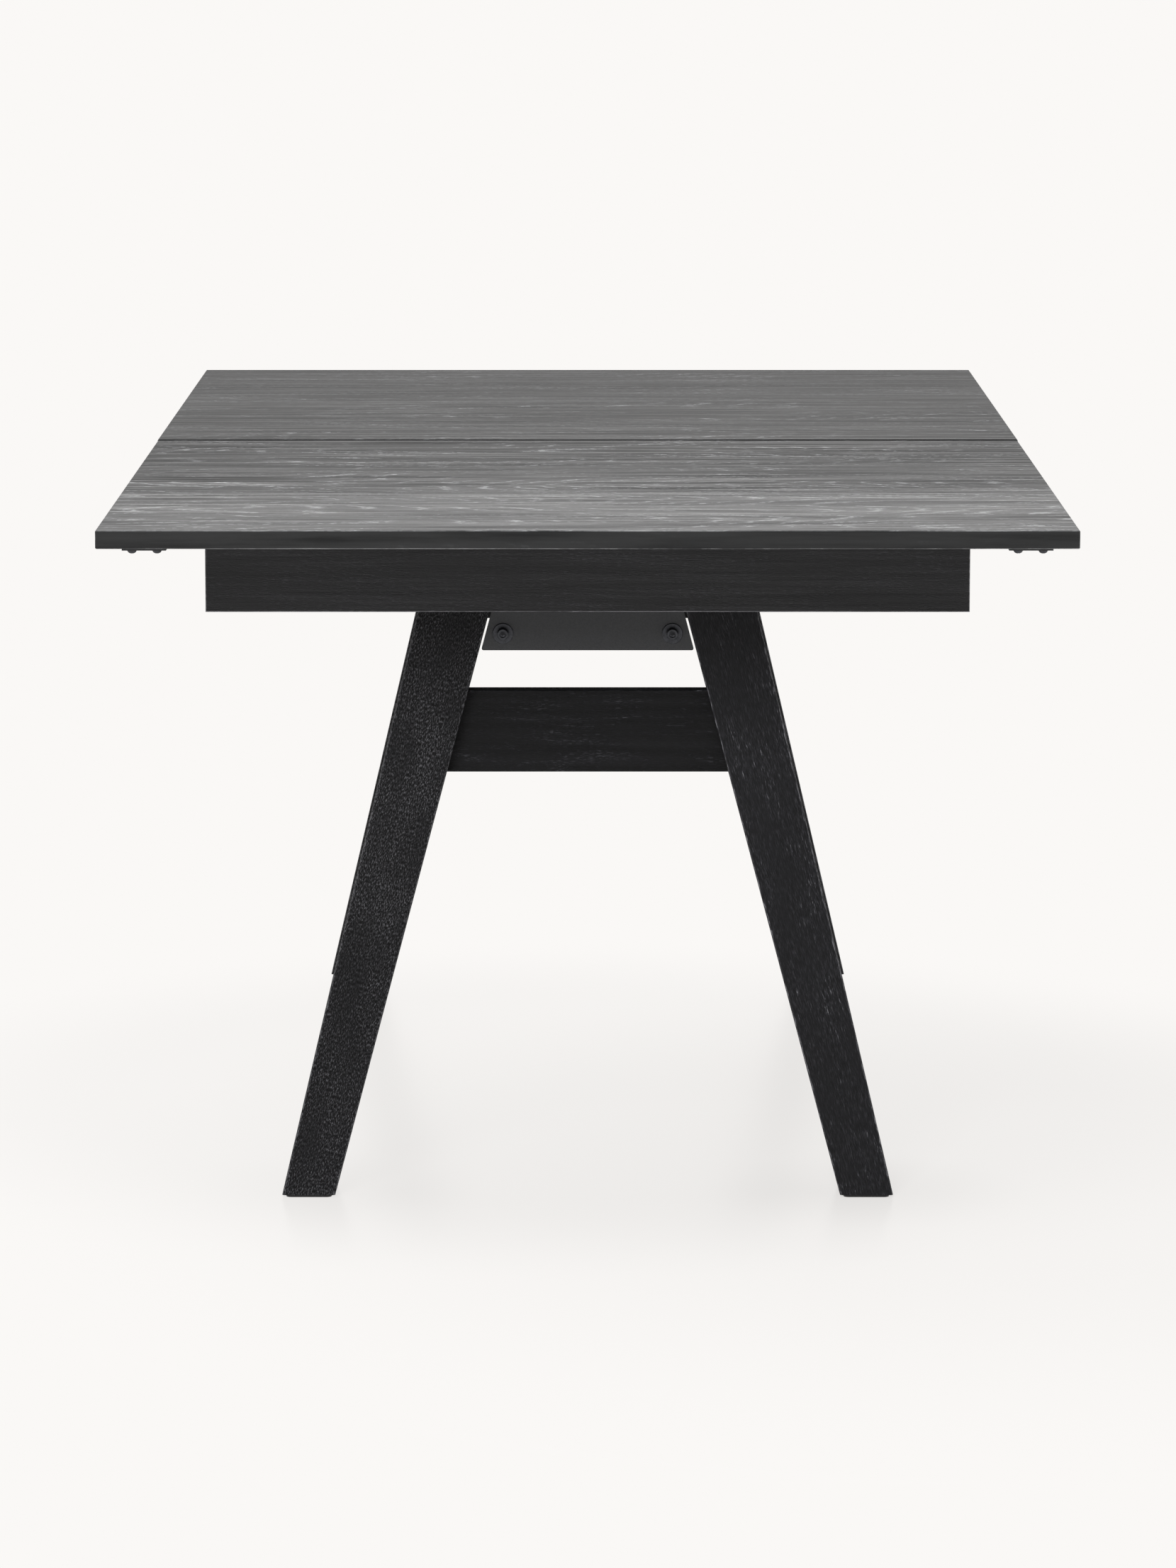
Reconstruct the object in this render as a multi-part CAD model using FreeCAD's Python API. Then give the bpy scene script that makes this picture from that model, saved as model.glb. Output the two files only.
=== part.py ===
import FreeCAD, Part
import math
import os

os.makedirs("parts", exist_ok=True)
Vector = FreeCAD.Vector

# Extending dining table on two trestles, drawn closed, in millimetres.
# X runs across the table, Y along it and Z up. The origin is on the floor under the middle.
# The front is at -Y. Each half of the top draws out along Y and two loose leaves fill the gap.

# Top
top_width = 1000.0
top_length = 1800.0
top_height = 750.0
top_thickness = 20.0
top_ease = 1.5
seam_gap = 1.0
seam_step = 1.1
half_travel = 500.0

# Aprons, rails and cross rails
apron_setback = 210.0
apron_height = 92.0
apron_thickness = 22.0
apron_ease = 2.0
rail_thickness = 22.0
rail_ease = 1.5
rail_top_gap = 2.0
rail_end_gap = 1.0
cross_rail_thickness = 56.0
cross_rail_top_gap = 4.0

# Legs, given by their outline at the foot and at the cross rail
leg_gap = 8.0
leg_depth = 70.0
leg_foot_outer = 328.0
leg_foot_width = 57.0
leg_top_outer = 178.5
leg_top_width = 75.5
leg_ease = 3.0

# Glides under the feet
glide_height = 3.0
glide_inset = 4.0
glide_corner = 6.0
glide_stem_radius = 3.0
glide_stem_length = 14.0

# Stretcher between a pair of legs
stretcher_drop = 90.5
stretcher_height = 88.0
stretcher_thickness = 24.0
stretcher_recess = 23.0
stretcher_ease = 2.0
tenon_length = 25.0
tenon_thickness = 10.0
tenon_shoulder = 12.0

# Steel plate between the legs, and the bolts that tie it to the centre beam
plate_thickness = 4.0
plate_recess = 3.0
plate_drop = 45.0
plate_leg_gap = 2.2
plate_top_gap = 2.0
plate_corner = 2.0
plate_screw_spacing = 60.0
plate_screw_count = 3
bolt_leg_gap = 20.5
bolt_drop = 27.0
bolt_radius = 4.0
bolt_head_radius = 6.5
bolt_head_height = 8.0
bolt_socket_flats = 5.0
bolt_socket_depth = 4.0
bolt_tip = 2.0
washer_radius = 11.0
washer_thickness = 1.6
nut_flats = 13.0
nut_height = 6.5

# Centre beam, an inverted steel channel with welded end plates
beam_nut_gap = 2.0
beam_height = 32.0
beam_wall = 3.0
end_plate_thickness = 4.0
end_plate_margin = 10.5
end_plate_drop = 42.0
end_plate_top_gap = 2.0

# Corner brackets
bracket_leg = 40.0
bracket_wall = 3.0
bracket_margin = 4.0
bracket_screw_margin = 9.0

# Telescopic runners, three nested channels with plastic slide strips
runner_height = 45.0
runner_depth = 12.7
runner_wall = 1.4
runner_play = 0.4
runner_top_gap = 3.5
runner_end_gap = 7.0
runner_seam_gap = 20.0
strip_thickness = 2.2
strip_play = 0.3
runner_screw_count = 4
runner_screw_margin = 50.0

# Carrier battens under each half
batten_width = 25.0
batten_height = 48.0
batten_seam_gap = 21.0
batten_screw_count = 3
batten_screw_margin = 150.0
batten_counterbore = 24.0

# Glue blocks behind each apron
glue_block_size = 28.0
glue_block_length = 60.0
glue_block_spacing = 250.0

# Loose leaves stowed on bearers inside the frame
bearer_height = 15.0
bearer_width = 40.0
bearer_inset = 150.0
bearer_tenon = 10.0
bearer_tenon_shoulder = 4.0
felt_thickness = 2.0
felt_length = 60.0
felt_width = 30.0
felt_inset = 60.0
leaf_dowel_out = 10.0
leaf_ease = 1.0

# Rack and pinion that draws the two halves out evenly
gear_module = 2.0
gear_teeth = 20
gear_height = 16.0
gear_pressure = math.radians(20.0)
gear_backlash = 0.25
gear_foot_ratio = 1.25
gear_flank_points = 6
rack_clear = 5.5
rack_back = 12.0
rack_end = 20.0
rack_block_height = 20.0
rack_block_width = 30.0
rack_block_length = 180.0
rack_block_gap = 40.0
rack_screw_count = 3
rack_screw_margin = 30.0
rack_batten_gap = 7.8
axle_radius = 5.0
axle_play = 0.05
axle_collar_radius = 8.0
axle_collar_height = 25.7
axle_top = 3.5
axle_spigot_radius = 4.0
axle_rivet_radius = 6.0
axle_rivet_height = 2.0
pinion_lift = 0.3
clip_gap = 0.3
clip_thickness = 1.2
clip_radius = 8.0
clip_groove = 1.0
clip_mouth = 7.0
shelf_thickness = 3.0
shelf_width = 60.0
shelf_front = 12.0
shelf_drop = 6.0
shelf_screw_spacing = 30.0

# Steel strips that keep the overhanging edges flat, with their screws
flat_strip_width = 45.0
flat_strip_thickness = 2.5
flat_strip_end = 8.0
flat_strip_seam = 75.0
flat_screw_pair = 25.5
flat_screw_count = 5
flat_screw_margin = 9.0
flat_flange_radius = 6.0
flat_flange_height = 1.0
flat_dome_radius = 4.6
flat_dome_height = 3.0

# Dowels
seam_dowel_radius = 4.0
seam_dowel_length = 30.0
seam_dowel_out = 12.0
seam_dowel_spacing = 350.0
seam_socket_play = 0.4
leg_dowel_radius = 5.0
leg_dowel_length = 60.0
leg_dowel_spacing = 38.0
rail_dowel_radius = 4.0
rail_dowel_length = 30.0
rail_dowel_spacing = 18.0

# Wood screws and the air around fasteners
screw_radius = 2.0
screw_head_radius = 4.0
screw_head_height = 2.4
screw_length = 16.0
long_screw_radius = 2.5
long_screw_head_radius = 5.0
hole_air = 0.05

# Limits used to pick out edges
parallel_limit = math.cos(math.radians(25.0))
nearby = 1.0

# Swivel catches under the seam
catch_pivot_gap = 16.0
catch_reach = 40.0
catch_width = 16.0
catch_thickness = 4.0
catch_play = 0.3
catch_pivot_radius = 4.0
catch_head_radius = 7.0
catch_head_height = 2.5
catch_base_thickness = 2.0
catch_base_size = 24.0
catch_stud_radius = 3.0
catch_slot_play = 0.6
catch_thread_radius = 3.0
catch_thread_length = 12.0

# Levels and planes worked out from the sizes above
half_width = top_width / 2
half_length = top_length / 2
under = top_height - top_thickness
apron_bottom = under - apron_height
apron_front = -(half_length - apron_setback)
apron_back = apron_front + apron_thickness
rail_end = apron_back + rail_end_gap
leg_front = apron_back + leg_gap
leg_back = leg_front + leg_depth
plate_front = leg_front + plate_recess
plate_back = plate_front + plate_thickness
cross_back = plate_back + cross_rail_thickness
cross_middle = (plate_back + cross_back) / 2
runner_low = under - runner_top_gap - runner_height
runner_middle = runner_low + runner_height / 2
batten_low = under - batten_height
cross_top = min(batten_low, runner_low) - cross_rail_top_gap
screw_bite = top_thickness / 2

# Places across the table, stacked outwards from the stowed leaves
leaf_half = half_travel / 2
pitch_radius = gear_module * gear_teeth / 2
gear_foot = gear_foot_ratio * gear_module
rack_depth = rack_back + gear_foot
pinion_x = leaf_half + leaf_dowel_out + rack_clear + rack_depth + pitch_radius
batten_in = pinion_x + pitch_radius + rack_depth + rack_batten_gap
runner_face = batten_in + batten_width
rail_in = runner_face + runner_depth
frame_half = rail_in + rail_thickness
overhang_middle = (frame_half + half_width) / 2

nodes = {}


def block(x0, x1, y0, y1, z0, z1):
    return Part.makeBox(x1 - x0, y1 - y0, z1 - z0, Vector(x0, y0, z0))


def prism_along_y(outline, y0, y1):
    corners = [Vector(x, y0, z) for x, z in outline]
    face = Part.Face(Part.makePolygon(corners + corners[:1]))
    return face.extrude(Vector(0, y1 - y0, 0))


def prism_up(outline, z0, z1):
    corners = [Vector(x, y, z0) for x, y in outline]
    face = Part.Face(Part.makePolygon(corners + corners[:1]))
    return face.extrude(Vector(0, 0, z1 - z0))


def rod(start, direction, radius, length):
    return Part.makeCylinder(radius, length, start, direction)


def eased(shape, radius, wanted):
    return shape.makeFillet(radius, [edge for edge in shape.Edges if wanted(edge)])


def runs_along(edge, axis):
    tangent = edge.tangentAt(edge.FirstParameter)
    return abs(tangent.dot(axis)) > parallel_limit


def mirrored(shape):
    return shape.mirror(Vector(0, 0, 0), Vector(1, 0, 0))


def turned(shape, centre_x=0.0):
    copy = shape.copy()
    copy.rotate(Vector(centre_x, 0, 0), Vector(0, 0, 1), 180)
    return copy


def both_sides(shape):
    return [shape, mirrored(shape)]


def four_corners(shape):
    pair = both_sides(shape)
    return pair + [turned(piece) for piece in pair]


def group(pieces):
    return Part.makeCompound(pieces)


def spread(first, last, count):
    step = (last - first) / (count - 1)
    return [first + step * index for index in range(count)]


def hexagon_along_y(flats, centre, length):
    # six-sided bar that starts at the centre point and runs back along Y
    corner = flats / math.sqrt(3)
    turns = [math.radians(60 * side) for side in range(6)]
    outline = [(centre.x + corner * math.cos(turn), centre.z + corner * math.sin(turn)) for turn in turns]
    return prism_along_y(outline, centre.y, centre.y + length)


def pan_screw(seat, direction, radius=screw_radius, length=screw_length, head=screw_head_radius):
    # seat is the point under the head, direction points into the material
    shank = rod(seat, direction, radius, length)
    return shank.fuse(rod(seat, direction * -1, head, screw_head_height))


def pilot(seat, direction, radius=screw_radius, length=screw_length):
    return rod(seat, direction, radius + hole_air, length + hole_air)


along_x, along_y, up = Vector(1, 0, 0), Vector(0, 1, 0), Vector(0, 0, 1)
back_x, back_y, down = Vector(-1, 0, 0), Vector(0, -1, 0), Vector(0, 0, -1)


# Legs: straight tapered boards that lean inwards, right front one first
def leg_line(foot_x, top_x, z):
    return foot_x + (top_x - foot_x) * (z - glide_height) / (apron_bottom - glide_height)


def leg_inner(z):
    return leg_line(leg_foot_outer - leg_foot_width, leg_top_outer - leg_top_width, z)


def leg_outer(z):
    return leg_line(leg_foot_outer, leg_top_outer, z)


stretcher_top = apron_bottom - stretcher_drop
stretcher_low = stretcher_top - stretcher_height
stretcher_front = leg_front + stretcher_recess
stretcher_back = stretcher_front + stretcher_thickness


def stretcher_slab(reach, shoulder, y0, y1):
    low, high = stretcher_low + shoulder, stretcher_top - shoulder
    x_low, x_high = leg_inner(low) + reach, leg_inner(high) + reach
    return prism_along_y([(-x_low, low), (x_low, low), (x_high, high), (-x_high, high)], y0, y1)


tenon_front = (stretcher_front + stretcher_back - tenon_thickness) / 2
tenon_bar = stretcher_slab(tenon_length, tenon_shoulder, tenon_front, tenon_front + tenon_thickness)
stretcher = stretcher_slab(0.0, 0.0, stretcher_front, stretcher_back)
stretcher = eased(stretcher, stretcher_ease, lambda edge: runs_along(edge, along_x)).fuse(tenon_bar)

leg_top_middle = leg_top_outer - leg_top_width / 2
leg_dowel_places = [
    Vector(leg_top_middle + side * leg_dowel_spacing / 2, cross_middle, apron_bottom - leg_dowel_length / 2)
    for side in (-1, 1)
]
leg_hole_radius = leg_dowel_radius + hole_air
leg_dowels = [rod(place, up, leg_dowel_radius, leg_dowel_length) for place in leg_dowel_places]
leg_dowel_holes = [rod(place, up, leg_hole_radius, leg_dowel_length) for place in leg_dowel_places]
foot_middle = leg_foot_outer - leg_foot_width / 2
leg_middle = (leg_front + leg_back) / 2


def glide():
    pad = block(
        leg_foot_outer - leg_foot_width + glide_inset, leg_foot_outer - glide_inset,
        leg_front + glide_inset, leg_back - glide_inset, 0.0, glide_height,
    )
    pad = eased(pad, glide_corner, lambda edge: runs_along(edge, up))
    stem = rod(Vector(foot_middle, leg_middle, glide_height), up, glide_stem_radius, glide_stem_length)
    return pad.fuse(stem)


def leg():
    outline = [
        (leg_outer(glide_height), glide_height), (leg_outer(apron_bottom), apron_bottom),
        (leg_inner(apron_bottom), apron_bottom), (leg_inner(glide_height), glide_height),
    ]
    board = prism_along_y(outline, leg_front, leg_back)
    board = eased(board, leg_ease, lambda edge: runs_along(edge, up))
    stem = pilot(Vector(foot_middle, leg_middle, glide_height), up, glide_stem_radius, glide_stem_length)
    return board.cut([tenon_bar, stem] + leg_dowel_holes)


right_leg = leg()
left_leg = mirrored(right_leg)
nodes["front_left_leg"] = left_leg
nodes["front_right_leg"] = right_leg
nodes["rear_left_leg"] = turned(right_leg)
nodes["rear_right_leg"] = turned(left_leg)
nodes["foot_glides"] = group(four_corners(glide()))
nodes["front_stretcher"] = stretcher
nodes["rear_stretcher"] = turned(stretcher)

# Dowels that join legs to cross rails and cross rails to side rails
rail_dowel_z = (apron_bottom + cross_top) / 2
rail_dowel_places = [
    Vector(rail_in - rail_dowel_length / 2, cross_middle, rail_dowel_z + side * rail_dowel_spacing / 2)
    for side in (-1, 1)
]
rail_dowels = [rod(place, along_x, rail_dowel_radius, rail_dowel_length) for place in rail_dowel_places]
rail_dowel_holes = [
    rod(place, along_x, rail_dowel_radius + hole_air, rail_dowel_length) for place in rail_dowel_places
]
nodes["frame_dowels"] = group([dowel for one in leg_dowels + rail_dowels for dowel in four_corners(one)])

# Steel plate between the legs, with its wood screws
plate_low = apron_bottom - plate_drop
plate_top = cross_top - plate_top_gap
bolt_z = apron_bottom - bolt_drop
bolt_x = leg_inner(bolt_z) - bolt_leg_gap
plate_screw_z = (apron_bottom + plate_top) / 2
plate_screw_reach = plate_screw_spacing * (plate_screw_count - 1) / 2
plate_screw_columns = spread(-plate_screw_reach, plate_screw_reach, plate_screw_count)
plate_screw_places = [Vector(x, plate_front, plate_screw_z) for x in plate_screw_columns]


def trestle_plate():
    wide, narrow = leg_inner(plate_low) - plate_leg_gap, leg_inner(apron_bottom) - plate_leg_gap
    outline = [(wide, plate_low), (narrow, apron_bottom), (narrow, plate_top)]
    outline += [(-x, z) for x, z in reversed(outline)]
    sheet = prism_along_y(outline, plate_front, plate_back)
    sheet = eased(
        sheet, plate_corner,
        lambda edge: edge.BoundBox.ZMax < plate_low + nearby and runs_along(edge, along_y),
    )
    for side in (-1, 1):
        place = Vector(side * bolt_x, plate_front, bolt_z)
        sheet = sheet.cut(rod(place, along_y, bolt_radius + hole_air, plate_thickness))
    return sheet.cut([pilot(place, along_y) for place in plate_screw_places])


nodes["front_plate"] = trestle_plate()
nodes["rear_plate"] = turned(nodes["front_plate"])

# Bolts, washers and nuts through the plate and the beam's end plate
bolt_seat = plate_front - washer_thickness
bolt_length = washer_thickness + plate_thickness + end_plate_thickness + nut_height + bolt_tip


def bolt():
    seat = Vector(bolt_x, bolt_seat, bolt_z)
    head = rod(seat, back_y, bolt_head_radius, bolt_head_height)
    socket = hexagon_along_y(bolt_socket_flats, seat - along_y * bolt_head_height, bolt_socket_depth)
    return head.cut(socket).fuse(rod(seat, along_y, bolt_radius, bolt_length))


def washer():
    ring = rod(Vector(bolt_x, bolt_seat, bolt_z), along_y, washer_radius, washer_thickness)
    return ring.cut(rod(Vector(bolt_x, bolt_seat, bolt_z), along_y, bolt_radius + hole_air, washer_thickness))


def nut():
    seat = Vector(bolt_x, plate_back + end_plate_thickness, bolt_z)
    body = hexagon_along_y(nut_flats, seat, nut_height)
    return body.cut(rod(seat, along_y, bolt_radius + hole_air, nut_height))


nodes["tie_bolts"] = group(four_corners(bolt()))
nodes["tie_washers"] = group(four_corners(washer()))
nodes["tie_nuts"] = group(four_corners(nut()))


# Centre beam with its two end plates welded on
def centre_beam():
    half = bolt_x - nut_flats / math.sqrt(3) - beam_nut_gap
    top = apron_bottom - end_plate_top_gap - end_plate_thickness
    start = plate_back + end_plate_thickness
    beam = block(-half, half, start, -start, top - beam_height, top)
    hollow = block(-half + beam_wall, half - beam_wall, start, -start, top - beam_height, top - beam_wall)
    beam = beam.cut(hollow)
    edge = bolt_x + end_plate_margin
    low, high = apron_bottom - end_plate_drop, apron_bottom - end_plate_top_gap
    end_plate = block(-edge, edge, plate_back, start, low, high)
    for side in (-1, 1):
        place = Vector(side * bolt_x, plate_back, bolt_z)
        end_plate = end_plate.cut(rod(place, along_y, bolt_radius + hole_air, end_plate_thickness))
    return beam.fuse([end_plate, turned(end_plate)]).removeSplitter()


nodes["centre_beam"] = centre_beam()

# Corner brackets inside the frame, with two screws in each leg
bracket_low = apron_bottom + bracket_margin
bracket_top = cross_top - bracket_margin
bracket_z = (bracket_low + bracket_top) / 2
bracket_screw_steps = (bracket_wall + bracket_screw_margin, bracket_leg - bracket_screw_margin)
cross_rail_screws = [
    (Vector(rail_in - step, cross_back + bracket_wall, bracket_z), back_y) for step in bracket_screw_steps
]
side_rail_screws = [
    (Vector(rail_in - bracket_wall, cross_back + step, bracket_z), along_x) for step in bracket_screw_steps
]
bracket_screws = cross_rail_screws + side_rail_screws


def corner_bracket():
    inside_x, inside_y = rail_in - bracket_wall, cross_back + bracket_wall
    end_x, end_y = rail_in - bracket_leg, cross_back + bracket_leg
    outline = [
        (rail_in, cross_back), (rail_in, end_y), (inside_x, end_y),
        (inside_x, inside_y), (end_x, inside_y), (end_x, cross_back),
    ]
    angle = prism_up(outline, bracket_low, bracket_top)
    for seat, direction in bracket_screws:
        angle = angle.cut(pilot(seat, direction))
    return angle


nodes["corner_brackets"] = group(four_corners(corner_bracket()))


# Cross rails over the legs
def cross_rail():
    beam = block(-rail_in, rail_in, plate_back, cross_back, apron_bottom, cross_top)
    side_holes = leg_dowel_holes + rail_dowel_holes
    side_holes += [pilot(seat, direction) for seat, direction in cross_rail_screws]
    cutters = [piece for hole in side_holes for piece in both_sides(hole)]
    return beam.cut(cutters + [pilot(place, along_y) for place in plate_screw_places])


nodes["front_cross_rail"] = cross_rail()
nodes["rear_cross_rail"] = turned(nodes["front_cross_rail"])

# Telescopic runners, right front one first
runner_out = rail_end + runner_end_gap
outer_half = runner_height / 2
middle_half = outer_half - runner_wall - strip_play - strip_thickness
inner_half = middle_half - runner_wall - strip_play - strip_thickness
runner_tip = runner_face + runner_wall + runner_play
middle_web = rail_in - runner_wall - runner_play
runner_screw_rows = spread(
    runner_out + runner_screw_margin, -runner_seam_gap - runner_screw_margin, runner_screw_count
)


def channel(web, tip, half):
    inside = web + math.copysign(runner_wall, tip - web)
    low, high = runner_middle - half, runner_middle + half
    outline = [
        (web, low), (tip, low), (tip, low + runner_wall), (inside, low + runner_wall),
        (inside, high - runner_wall), (tip, high - runner_wall), (tip, high), (web, high),
    ]
    return prism_along_y(outline, runner_out, -runner_seam_gap)


def flush_screw(web, direction, y, air=0.0):
    # countersunk head that ends level with the inner face of a channel's web
    back = Vector(web, y, runner_middle)
    face = back - direction * runner_wall
    head = Part.makeCone(screw_head_radius + air, screw_radius + air, runner_wall, face, direction)
    return head.fuse(rod(back, direction, screw_radius + air, screw_length + air))


rail_runner_screws = [flush_screw(rail_in, along_x, y) for y in runner_screw_rows]
rail_runner_holes = [flush_screw(rail_in, along_x, y, hole_air) for y in runner_screw_rows]
batten_runner_screws = [flush_screw(runner_face, back_x, y) for y in runner_screw_rows]
batten_runner_holes = [flush_screw(runner_face, back_x, y, hole_air) for y in runner_screw_rows]
outer_channel = channel(rail_in, runner_tip, outer_half).cut(rail_runner_holes)
middle_channel = channel(middle_web, runner_tip, middle_half)
inner_tip = middle_web - runner_wall - runner_play
inner_channel = channel(runner_face, inner_tip, inner_half).cut(batten_runner_holes)


def slide_strips():
    # plastic strips above, below and inside the middle channel
    strips = []
    inside = middle_half - runner_wall - strip_thickness
    for level, web in ((middle_half, middle_web), (inside, middle_web - runner_wall)):
        for side in (-1, 1):
            ends = [runner_middle + side * level, runner_middle + side * (level + strip_thickness)]
            strips.append(block(runner_tip, web, runner_out, -runner_seam_gap, min(ends), max(ends)))
    return [piece for strip in strips for piece in both_sides(strip)]


def at_rear(pieces):
    return group([turned(piece) for piece in pieces])


nodes["front_outer_runners"] = group(both_sides(outer_channel))
nodes["rear_outer_runners"] = at_rear(both_sides(outer_channel))
nodes["front_middle_runners"] = group(both_sides(middle_channel))
nodes["rear_middle_runners"] = at_rear(both_sides(middle_channel))
nodes["front_slide_strips"] = group(slide_strips())
nodes["rear_slide_strips"] = at_rear(slide_strips())
nodes["front_inner_runners"] = group(both_sides(inner_channel))
nodes["rear_inner_runners"] = at_rear(both_sides(inner_channel))
nodes["runner_screws"] = group([piece for screw in rail_runner_screws for piece in four_corners(screw)])

# Leaf bearers let into the side rails, felt pads and the two stowed leaves
bearer_top = apron_bottom + bearer_height
bearer_y = -(half_width - bearer_inset)
bearer_front, bearer_back = bearer_y - bearer_width / 2, bearer_y + bearer_width / 2
bearer_tongue = block(
    -rail_in - bearer_tenon, rail_in + bearer_tenon, bearer_front, bearer_back,
    apron_bottom + bearer_tenon_shoulder, bearer_top - bearer_tenon_shoulder,
)
bearer = block(-rail_in, rail_in, bearer_front, bearer_back, apron_bottom, bearer_top).fuse(bearer_tongue)
lower_leaf_low = bearer_top + felt_thickness
upper_leaf_low = lower_leaf_low + top_thickness + felt_thickness
leaf_dowel_sink = seam_dowel_length - leaf_dowel_out
dowel_rows = (-seam_dowel_spacing, 0.0, seam_dowel_spacing)


def felt_pad(low):
    x = leaf_half - felt_inset
    return block(
        x - felt_length / 2, x + felt_length / 2,
        bearer_y - felt_width / 2, bearer_y + felt_width / 2, low, low + felt_thickness,
    )


def leaf_dowel(y, low):
    start = Vector(leaf_half - leaf_dowel_sink, y, low + top_thickness / 2)
    return rod(start, along_x, seam_dowel_radius, seam_dowel_length)


def leaf(low):
    # dowels stand out of one long edge and the other has their sockets
    board = block(-leaf_half, leaf_half, -half_width, half_width, low, low + top_thickness)
    board = eased(board, leaf_ease, lambda edge: not runs_along(edge, up))
    middle = low + top_thickness / 2
    for y in dowel_rows:
        peg = Vector(leaf_half - leaf_dowel_sink, y, middle)
        board = board.cut(rod(peg, along_x, seam_dowel_radius + hole_air, seam_dowel_length))
        socket = Vector(-leaf_half, y, middle)
        socket_radius = seam_dowel_radius + seam_socket_play
        board = board.cut(rod(socket, along_x, socket_radius, leaf_dowel_out + leaf_ease))
    return board


nodes["front_leaf_bearer"] = bearer
nodes["rear_leaf_bearer"] = turned(bearer)
nodes["leaf_felt_pads"] = group(
    [pad for low in (bearer_top, lower_leaf_low + top_thickness) for pad in four_corners(felt_pad(low))]
)
nodes["lower_leaf"] = leaf(lower_leaf_low)
nodes["upper_leaf"] = leaf(upper_leaf_low)
nodes["leaf_dowels"] = group(
    [leaf_dowel(y, low) for low in (lower_leaf_low, upper_leaf_low) for y in dowel_rows]
)

# Pinion, its axle and the bracket that carries it on the right side rail
rack_top = under - rack_block_height
rack_low = rack_top - gear_height
shelf_top = rack_low - pinion_lift - axle_collar_height
shelf_low = shelf_top - shelf_thickness
bracket_foot = apron_bottom + shelf_drop
axle_end = rack_top + clip_gap + clip_thickness + axle_top
clip_low = rack_top + clip_gap
shelf_screw_places = [
    Vector(rail_in - shelf_thickness, side * shelf_screw_spacing / 2, (bracket_foot + shelf_low) / 2)
    for side in (-1, 1)
]


def pinion_bracket():
    inner = pinion_x - shelf_front
    outline = [
        (rail_in, bracket_foot), (rail_in, shelf_top), (inner, shelf_top), (inner, shelf_low),
        (rail_in - shelf_thickness, shelf_low), (rail_in - shelf_thickness, bracket_foot),
    ]
    angle = prism_along_y(outline, -shelf_width / 2, shelf_width / 2)
    angle = angle.cut(rod(Vector(pinion_x, 0, shelf_low), up, axle_spigot_radius + hole_air, shelf_thickness))
    return angle.cut([pilot(place, along_x) for place in shelf_screw_places])


def pinion_axle():
    rivet = rod(Vector(pinion_x, 0, shelf_low - axle_rivet_height), up, axle_rivet_radius, axle_rivet_height)
    spigot = rod(Vector(pinion_x, 0, shelf_low), up, axle_spigot_radius, shelf_thickness)
    collar = rod(Vector(pinion_x, 0, shelf_top), up, axle_collar_radius, axle_collar_height)
    neck_low = shelf_top + axle_collar_height
    neck = rod(Vector(pinion_x, 0, neck_low), up, axle_radius, axle_end - neck_low)
    ring = rod(Vector(pinion_x, 0, clip_low), up, clip_radius, clip_thickness)
    groove = ring.cut(rod(Vector(pinion_x, 0, clip_low), up, axle_radius - clip_groove, clip_thickness))
    return rivet.fuse([spigot, collar, neck]).cut(groove).removeSplitter()


def axle_clip():
    ring = rod(Vector(pinion_x, 0, clip_low), up, clip_radius, clip_thickness)
    bore = axle_radius - clip_groove + hole_air
    ring = ring.cut(rod(Vector(pinion_x, 0, clip_low), up, bore, clip_thickness))
    mouth = block(
        pinion_x, pinion_x + clip_radius, -clip_mouth / 2, clip_mouth / 2, clip_low, clip_low + clip_thickness
    )
    return ring.cut(mouth)


def polar(radius, angle):
    return Vector(pinion_x + radius * math.cos(angle), radius * math.sin(angle), rack_low)


def smooth_edge(points):
    curve = Part.BSplineCurve()
    curve.interpolate(points)
    return curve.toShape()


def pinion():
    # involute flanks from the base circle to the tip, thinned by half the backlash
    base = pitch_radius * math.cos(gear_pressure)
    tip, root = pitch_radius + gear_module, pitch_radius - gear_foot
    flank_radii = spread(base, tip, gear_flank_points)
    involute_at_pitch = math.tan(gear_pressure) - gear_pressure
    half_pitch = math.pi / (2 * gear_teeth) - gear_backlash / (2 * pitch_radius)

    def half_angle(radius):
        roll = math.acos(min(1.0, base / radius))
        return half_pitch + involute_at_pitch - (math.tan(roll) - roll)

    edges = []
    step = 2 * math.pi / gear_teeth
    for tooth in range(gear_teeth):
        middle = tooth * step
        rise = [polar(r, middle - half_angle(r)) for r in flank_radii]
        fall = [polar(r, middle + half_angle(r)) for r in reversed(flank_radii)]
        foot = polar(root, middle - half_angle(base))
        heel = polar(root, middle + half_angle(base))
        next_foot = polar(root, middle + step - half_angle(base))
        edges += [
            Part.LineSegment(foot, rise[0]).toShape(), smooth_edge(rise),
            Part.Arc(rise[-1], polar(tip, middle), fall[0]).toShape(),
            smooth_edge(fall), Part.LineSegment(fall[-1], heel).toShape(),
            Part.Arc(heel, polar(root, middle + step / 2), next_foot).toShape(),
        ]
    disc = Part.Face(Part.Wire(edges)).extrude(Vector(0, 0, gear_height))
    return disc.cut(rod(Vector(pinion_x, 0, rack_low), up, axle_radius + axle_play, gear_height))


nodes["pinion_bracket"] = pinion_bracket()
nodes["pinion_axle"] = pinion_axle()
nodes["axle_clip"] = axle_clip()
nodes["sync_pinion"] = pinion()

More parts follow.
